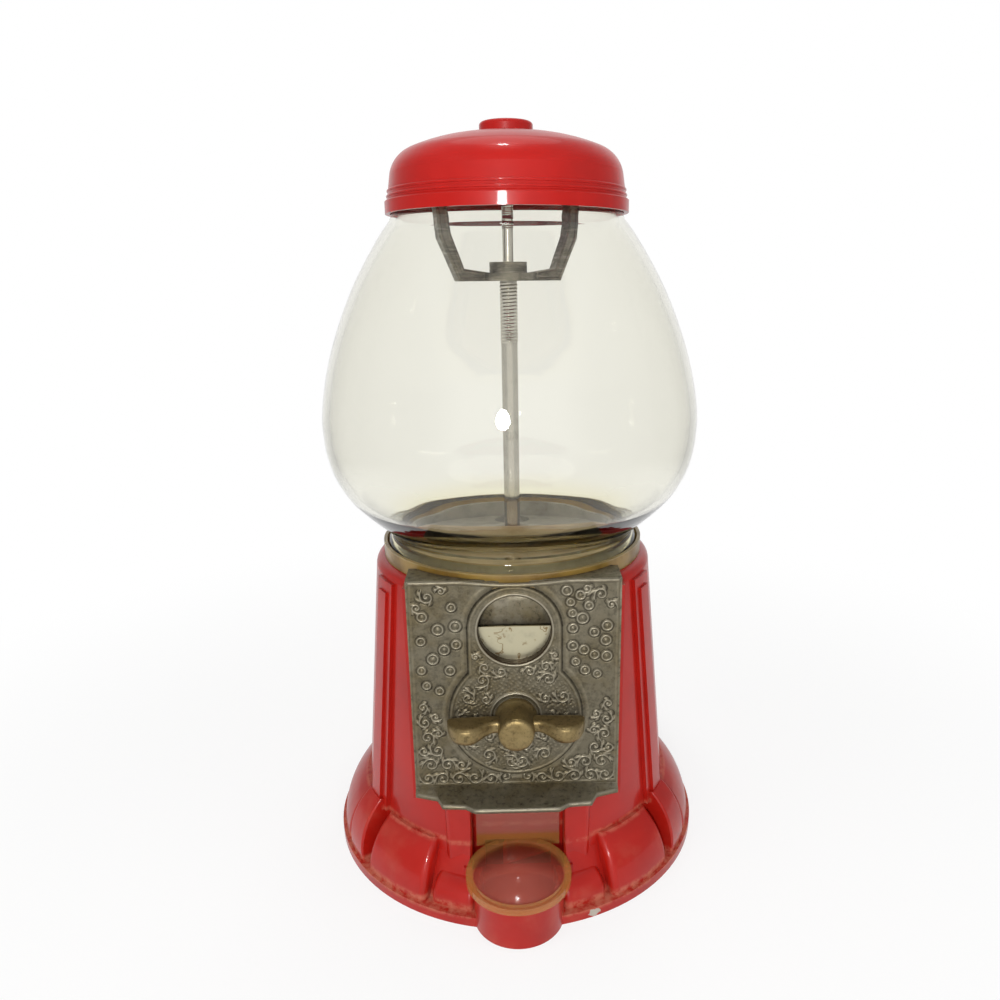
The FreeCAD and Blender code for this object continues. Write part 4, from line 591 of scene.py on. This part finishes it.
# leaf scrolls along the foot, up the sides, round the disc, below the window and in the top corners
curls = []
for hand in (-1, 1):
    for n, (sx, sz, big) in enumerate(relief["foot"]):
        curls.append((hand * sx, sz, big, np.pi / 2 + hand * 1.7 * n, hand * (1 if n % 2 else -1)))
    for away, number, first, between, big, lead, twist, way in relief["rings"]:
        for n in range(number):
            a = np.radians(first + n * between)
            curls.append((hand * away * np.cos(a), relief["shaft"] + away * np.sin(a), big,
                          a + lead + twist * n, hand * way * (1 if n % 2 else -1)))
    for sx, sz, big, mirrored, start, way in relief["corners"]:
        curls.append((hand * sx, sz, big, hand * mirrored + start, hand * way))
for cx, cz, big, start, hand in curls:
    path = scroll(cx, cz, big, start, hand)
    width = np.interp(np.arange(len(path)), [0, 60, 140, 180], [0.5, 0.4, 0.5, 0.22])
    carve(path, width, relief["lineRise"])
    for at, length in relief["leaves"]:
        way = path[at + 1] - path[at - 1]
        aside = np.array([way[1], -way[0]]) * hand
        leaf = blade(path[at], way + 0.9 * aside, big * length, 0.5 * hand)
        width = 0.12 + 0.62 * np.sin(np.pi * np.linspace(0.1, 1, relief["bladePoints"]))
        carve(leaf, width, 0.8 * relief["lineRise"])
# fine seeding of dots between the scrolls, full in the disc and fainter along the foot
cells = np.sin(gx * 2.9 + 1.2 * np.sin(gz * 1.1)) * np.sin(gz * 2.9 + 1.3 * np.sin(gx * 0.9))
cells = relief["dotRise"] * np.clip(cells, 0, 1)
dots = np.where(keyhole < 0, cells * np.clip(-keyhole - 1.2, 0, 1),
                0.35 * cells * np.clip((58 - gz) / 4, 0, 1))
ornament = np.maximum(ornament, dots)
# raised lines round the keyhole, the plate, the window and the collar, which the ornament keeps clear of
border = 0.22 * bell(keyhole + 0.6, 0.6) + 0.16 * bell(keyhole - 2.2, 1.0)
frameLine = 0.16 * bell(fromEdge - 0.9, 0.6)
windowRim = 0.4 * bell(fromWindow - 13.7, 0.7)
collarRim = 0.5 * bell(fromShaft - 9.2, 0.6)
clear = (np.abs(keyhole) > 1.0) & (fromWindow > 14.6) & (fromShaft > 10.2) & (fromEdge > 1.1)
raised = relief["keyholeRise"] * np.clip((0.5 - keyhole) / 0.45, 0, 1)
fine = np.maximum.reduce([ornament * clear, border, frameLine, windowRim, collarRim])
groove = np.maximum(bell(keyhole - 0.45, 0.5), sunk * clear * np.clip(1 - ornament / 0.12, 0, 1))
proud = relief["proud"] + raised + fine - relief["sink"] * groove
# points inside a hole are pushed out onto its edge, and faces wholly inside are dropped
px, pz = gx.copy(), gz.copy()
inHole = np.zeros(gx.shape, bool)
for middle, hole, away in ((relief["window"], relief["windowHole"], fromWindow),
                           (relief["shaft"], relief["shaftHole"], fromShaft)):
    push = np.where(away < hole, hole / np.maximum(away, 0.01), 1.0)
    px = px * push
    pz = middle + (pz - middle) * push
    inHole |= away < hole
faces = gridFaces(*gx.shape, closeCols=False)
faces = faces[~inHole.ravel()[faces].all(1)]
used = np.unique(faces)
order = np.full(gx.size, -1)
order[used] = np.arange(used.size)
points = np.stack([px, -(relief["face"] + proud), pz], -1).reshape(-1, 3)[used]
marks = {"rise": np.clip(fine / relief["fullRise"], 0, 1).ravel()[used], "groove": groove.ravel()[used]}
addPiece("plateRelief", points, order[faces], "base", "relief", marks)
print("relief:", len(faces), "faces")


# handle; its depths are measured forward from the rod

handle = {"span": 24.9, "back": 54.5, "neck": 60.2, "belly": 65.4, "neckAt": 7.5, "bellyAt": 17.0,
          "half": 2.5, "drop": 0.95, "height": 72.5, "corner": 3.4, "along": 141, "around": 48,
          "hub": [(7.9, 53.02), (7.9, 53.8), (7.5, 54.6), (7.05, 55.4), (6.7, 56.6), (6.5, 58.2),
                  (6.45, 64.2), (6.2, 65.2), (5.6, 65.75), (4.4, 65.97), (0.0, 65.97)], "hubAround": 96}
# wings: rounded-off boxes across, whose front edge swells to the belly and closes at the tip
s = np.linspace(-np.pi / 2, np.pi / 2, handle["along"])[:, None]
v = ring(handle["around"])
wx = handle["span"] * np.sin(s)
far = np.clip((np.abs(wx) - handle["bellyAt"]) / (handle["span"] - handle["bellyAt"]), 0, 1)
swell = np.clip((np.abs(wx) - handle["neckAt"]) / (handle["bellyAt"] - handle["neckAt"]), 0, 1)
swell = swell * swell * (3 - 2 * swell)
front = handle["neck"] + (handle["belly"] - handle["neck"]) * swell
close = np.sqrt(np.clip(1 - far ** 2.6, 0, 1))
deep = (front - handle["back"]) / 2 * close
wy = -(handle["back"] + deep * (1 - squared(np.cos(v), handle["corner"])))
under = np.where(np.sin(v) < 0, 1 + handle["drop"] * swell, 1.0)
wz = handle["height"] + handle["half"] * under * close ** 0.6 * squared(np.sin(v), handle["corner"])
wings = np.stack([wx + 0 * v, wy, wz], -1).reshape(-1, 3)
# hub: the outline turned about the shaft
hubPath = np.array(handle["hub"])
a = ring(handle["hubAround"])
hub = np.stack([hubPath[:, 0:1] * np.cos(a), -hubPath[:, 1:2] + 0 * a,
                handle["height"] + hubPath[:, 0:1] * np.sin(a)], -1).reshape(-1, 3)
faces = np.vstack([gridFaces(len(s), v.size), gridFaces(len(hubPath), a.size) + len(wings)])
handlePiece = addPiece("handleCasting", np.vstack([wings, hub]), faces, "handle_set", "bronze")
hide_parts("handle")
print("handle cast")


# sheet behind the coin, on the upper edge of the bracket; level is a share of the outline and of the depth

coinBack = {"half": 13.6, "low": 102.6, "high": 117.4, "front": 43.46, "back": 42.7, "corner": 5.0,
            "around": 96,
            "level": [(0, 0), (0.5, 0), (0.97, 0), (1, 0.25), (1, 0.75), (0.97, 1), (0.5, 1), (0, 1)]}
# a rounded-off box: the outline is a superellipse, shrunk at both faces to ease the edge
a = ring(coinBack["around"])
share, depth = np.array(coinBack["level"])[:, :, None].swapaxes(0, 1)
middle, tall = (coinBack["low"] + coinBack["high"]) / 2, (coinBack["high"] - coinBack["low"]) / 2
backX = coinBack["half"] * share * squared(np.cos(a), coinBack["corner"])
backY = -coinBack["front"] + (coinBack["front"] - coinBack["back"]) * depth + 0 * a
backZ = middle + tall * share * squared(np.sin(a), coinBack["corner"])
points = np.stack([backX, backY, backZ], -1).reshape(-1, 3)
addPiece("coinBack", points, gridFaces(len(share), a.size)[:, ::-1], "base", "pewter")
print("sheet behind the coin done")


# rails along both edges of the yoke's arms; the lines are radius and height along an arm

rails = {"turn": 18.0, "face": 3.2, "radius": 0.6, "count": 70, "around": 14,
         "outer": [(10.6, 225.7), (19.3, 225.7), (25.7, 240.15), (26.7, 249.6)],
         "inner": [(10.6, 227.2), (18.2, 228.4), (22.9, 240.9), (24.1, 249.6)]}
a = ring(rails["around"])
end = np.sqrt(np.clip(1 - np.linspace(-1, 1, rails["count"]) ** 40, 0, 1))[:, None]
parts = []
for line in ("outer", "inner"):
    knots = np.array(rails[line])
    run = np.append(0, np.cumsum(np.linalg.norm(np.diff(knots, axis=0), axis=1)))
    at = np.linspace(0, run[-1], rails["count"])
    path = np.stack([np.interp(at, run, knots[:, 0]), np.interp(at, run, knots[:, 1])], 1)
    along = np.gradient(path, axis=0)
    across = np.stack([-along[:, 1], along[:, 0]], 1) / np.linalg.norm(along, axis=1)[:, None]
    r = rails["radius"] * end
    # a round bead along the line, on either face of the arm, turned to both arms
    u = path[:, 0:1] + r * np.cos(a) * across[:, 0:1]
    z = path[:, 1:2] + r * np.cos(a) * across[:, 1:2]
    for face in (-1, 1):
        v = face * rails["face"] + r * np.sin(a)
        for arm in (0, 180):
            turn = np.radians(rails["turn"] + arm)
            x, y = u * np.cos(turn) - v * np.sin(turn), u * np.sin(turn) + v * np.cos(turn)
            parts.append(np.stack([x, y, z], -1).reshape(-1, 3))
tube = gridFaces(rails["count"], a.size)[:, ::-1]
faces = np.vstack([tube + n * len(parts[0]) for n in range(len(parts))])
addPiece("yokeRails", np.vstack(parts), faces, "base", "yoke")
print("yoke rails done")


# edge along the top of the coin plate; its bead is painted bright on top as a painted highlight

ledge = {"half": 37.7, "front": 51.4, "bulge": 2.0, "bulgeHalf": 19.0, "dip": 0.5, "height": 124.7,
         "radius": 0.85, "along": 181, "around": 20}
# a round bead carried along a line that swells forward round the globe's foot
t = np.linspace(-ledge["half"], ledge["half"], ledge["along"])[:, None]
a = ring(ledge["around"])
lean = np.clip(1 - (t / ledge["bulgeHalf"]) ** 2, 0, 1) ** 1.2
r = ledge["radius"] * np.sqrt(np.clip(1 - (np.abs(t) / ledge["half"]) ** 60, 0, 1))
beadY = -(ledge["front"] + ledge["bulge"] * lean) + r * np.cos(a)
beadZ = ledge["height"] + r * np.sin(a) - ledge["dip"] * lean
points = np.stack([t + 0 * a, beadY, beadZ], -1).reshape(-1, 3)
# painted highlight: the rise mark is highest on the top of the bead and lowest under it
shine = np.broadcast_to(0.6 + 0.4 * np.sin(a), beadY.shape).ravel()
addPiece("plateEdge", points, gridFaces(len(t), a.size), "base", "relief",
         {"rise": shine, "groove": 0 * shine})
print("plate edge done")


# rolled lip along the lower edge of the apron; side and front are the corners of its outline

apron = {"side": [0.0, 15.4, 19.0, 27.4, 29.6, 38.0], "front": [63.4, 63.4, 60.8, 60.2, 55.4, 52.6],
         "height": 40.5, "radius": 0.95, "inset": 0.5, "blur": 9, "along": 361, "around": 20}
# the apron's outline, evened out, carries a round bead
corners = np.arange(len(apron["side"]))
along = np.linspace(-corners[-1], corners[-1], apron["along"])
lipX = np.sign(along) * np.interp(np.abs(along), corners, apron["side"])
lipY = np.interp(np.abs(along), corners, apron["front"])
even = np.ones(apron["blur"]) / apron["blur"]
lipX, lipY = (np.convolve(np.pad(lip, apron["blur"] // 2, mode="edge"), even, "valid")[:, None]
              for lip in (lipX, lipY))
a = ring(apron["around"])
r = apron["radius"] * np.sqrt(np.clip(1 - (np.abs(along[:, None]) / corners[-1]) ** 80, 0, 1))
points = np.stack([lipX + 0 * a, -(lipY - apron["inset"] + r * np.cos(a)),
                   apron["height"] + r * np.sin(a)], -1).reshape(-1, 3)
# painted highlight on the top of the lip and painted shade under it, through the rise mark
shine = np.broadcast_to(0.5 + 0.5 * np.sin(a), (along.size, a.size)).ravel()
addPiece("apronLip", points, gridFaces(along.size, a.size)[:, ::-1], "base", "relief",
         {"rise": shine, "groove": 0 * shine})
print("apron lip done")


# light and floor; a lamp is its place in metres, its width and its watts

studio = {
    "lamps": {"front": ((-0.05, -0.66, 0.29), 0.09, 2.4), "left": ((-0.95, -0.45, 0.75), 0.7, 3.0),
              "right": ((0.95, -0.4, 0.6), 0.7, 2.1), "top": ((0.0, 0.25, 1.15), 0.8, 1.5),
              "ceiling": ((-0.03, -0.14, 1.15), 0.10, 1.5), "back": ((0.35, 1.0, 0.55), 0.7, 2.6)},
    "aim": (0, -0.02, 0.13), "unseen": ("left", "right", "back"),
    "shade": 0.62, "glassShade": 0.28, "soft": 0.38, "sides": (0.45, 0.85), "overhead": (0.35, 0.8),
}
ground = {"reach": 4000, "rings": 12, "around": 64, "below": 0.05, "colour": (0.86, 0.86, 0.85, 1),
          "shadowOut": (140, 420), "sidesOut": (250, 600)}
for label, (place, wide, watts) in studio["lamps"].items():
    lamp = bpy.data.lights.new(label + "Light", "AREA")
    lamp.shape = "DISK"
    lamp.size = wide
    lamp.energy = watts
    lampObject = bpy.data.objects.new(label + "Light", lamp)
    lampObject.location = place
    way = Vector(studio["aim"]) - lampObject.location
    lampObject.rotation_euler = way.to_track_quat("-Z", "Y").to_euler()
    lampObject.visible_glossy = lampObject.visible_transmission = label not in studio["unseen"]
    bpy.context.scene.collection.objects.link(lampObject)


def skyLight():
    # white to the camera; glass and reflections see the same wall, darker at the sides and overhead
    look = Look("paleStudio", bpy.data.worlds, "Generated")
    x, _, z = look.axes(1)
    camera, glass, mirror = look.rays()
    side = x.size().rise(*studio["sides"]).most(0.7 * z.rise(*studio["overhead"]))
    level = camera.most(glass * (1 - studio["glassShade"] * side))
    level = level.most(mirror * (1 - studio["shade"] * side)).most(studio["soft"])
    sky = look.node("ShaderNodeBackground", None, {"Color": (1, 1, 1, 1), "Strength": level})
    return look.done(sky, "ShaderNodeOutputWorld")


def floorLook():
    # pale floor that keeps the shadow near the foot and runs out to white
    look = Look("paleFloor")
    x, y, _ = look.axes()
    radius = (x * x + y * y).root()
    camera, glass, mirror = look.rays()
    side = (x.size() / radius.most(1.0)).rise(*studio["sides"]) * radius.rise(*ground["sidesOut"])
    dim = side * (studio["glassShade"] * glass + studio["shade"] * mirror * (1 - glass))
    plain = look.principled({"Base Color": ground["colour"], "Roughness": 0.9})
    white = look.node("ShaderNodeEmission", None, {"Color": look.mix(dim, (1, 1, 1, 1), (0, 0, 0, 1)),
                                                   "Strength": 1.0})
    share = camera.most(glass).most(mirror) * (0.78 + 0.22 * radius.rise(*ground["shadowOut"]))
    return look.done(look.node("ShaderNodeMixShader", None, {0: share, 1: plain, 2: white}))


looks["floor"] = floorLook()
reach = np.linspace(0, ground["reach"], ground["rings"])
points, faces = lathe(np.stack([reach, 0 * reach - ground["below"]], 1), ground["around"])
floor = addObject("floor", points, faces, "floor")
bpy.context.scene.world = skyLight()


# camera: focal length and middle in pixels of the image, angles in degrees, eye in millimetres

view = {"focal": 817.586, "pitch": 16.284, "roll": -0.548, "yaw": 1.569, "eye": (-0.962, -318.303, 226.678),
        "middle": (531.364, 515.370), "image": 1000, "sensor": 36, "near": 0.01}
pitch, roll, yaw = (np.radians(view[k]) for k in ("pitch", "roll", "yaw"))
ahead = Vector((np.sin(yaw) * np.cos(pitch), np.cos(yaw) * np.cos(pitch), -np.sin(pitch)))
right = Vector((np.cos(yaw), -np.sin(yaw), 0))
up = right.cross(ahead)
camRight = right * np.cos(roll) + up * np.sin(roll)
camUp = up * np.cos(roll) - right * np.sin(roll)
camera = bpy.data.cameras.new("camera")
camera.sensor_fit = "HORIZONTAL"
camera.sensor_width = view["sensor"]
camera.lens = view["sensor"] * view["focal"] / view["image"]
camera.shift_x = (view["image"] / 2 - view["middle"][0]) / view["image"]
camera.shift_y = (view["middle"][1] - view["image"] / 2) / view["image"]
camera.clip_start = view["near"]
cameraObject = bpy.data.objects.new("camera", camera)
turnTo = Matrix((camRight, camUp, -ahead)).transposed().to_4x4()
cameraObject.matrix_world = Matrix.Translation(Vector(view["eye"]) * mm) @ turnTo
bpy.context.scene.collection.objects.link(cameraObject)
bpy.context.scene.camera = cameraObject
bpy.context.scene.view_settings.view_transform = "Standard"
print("studio set")
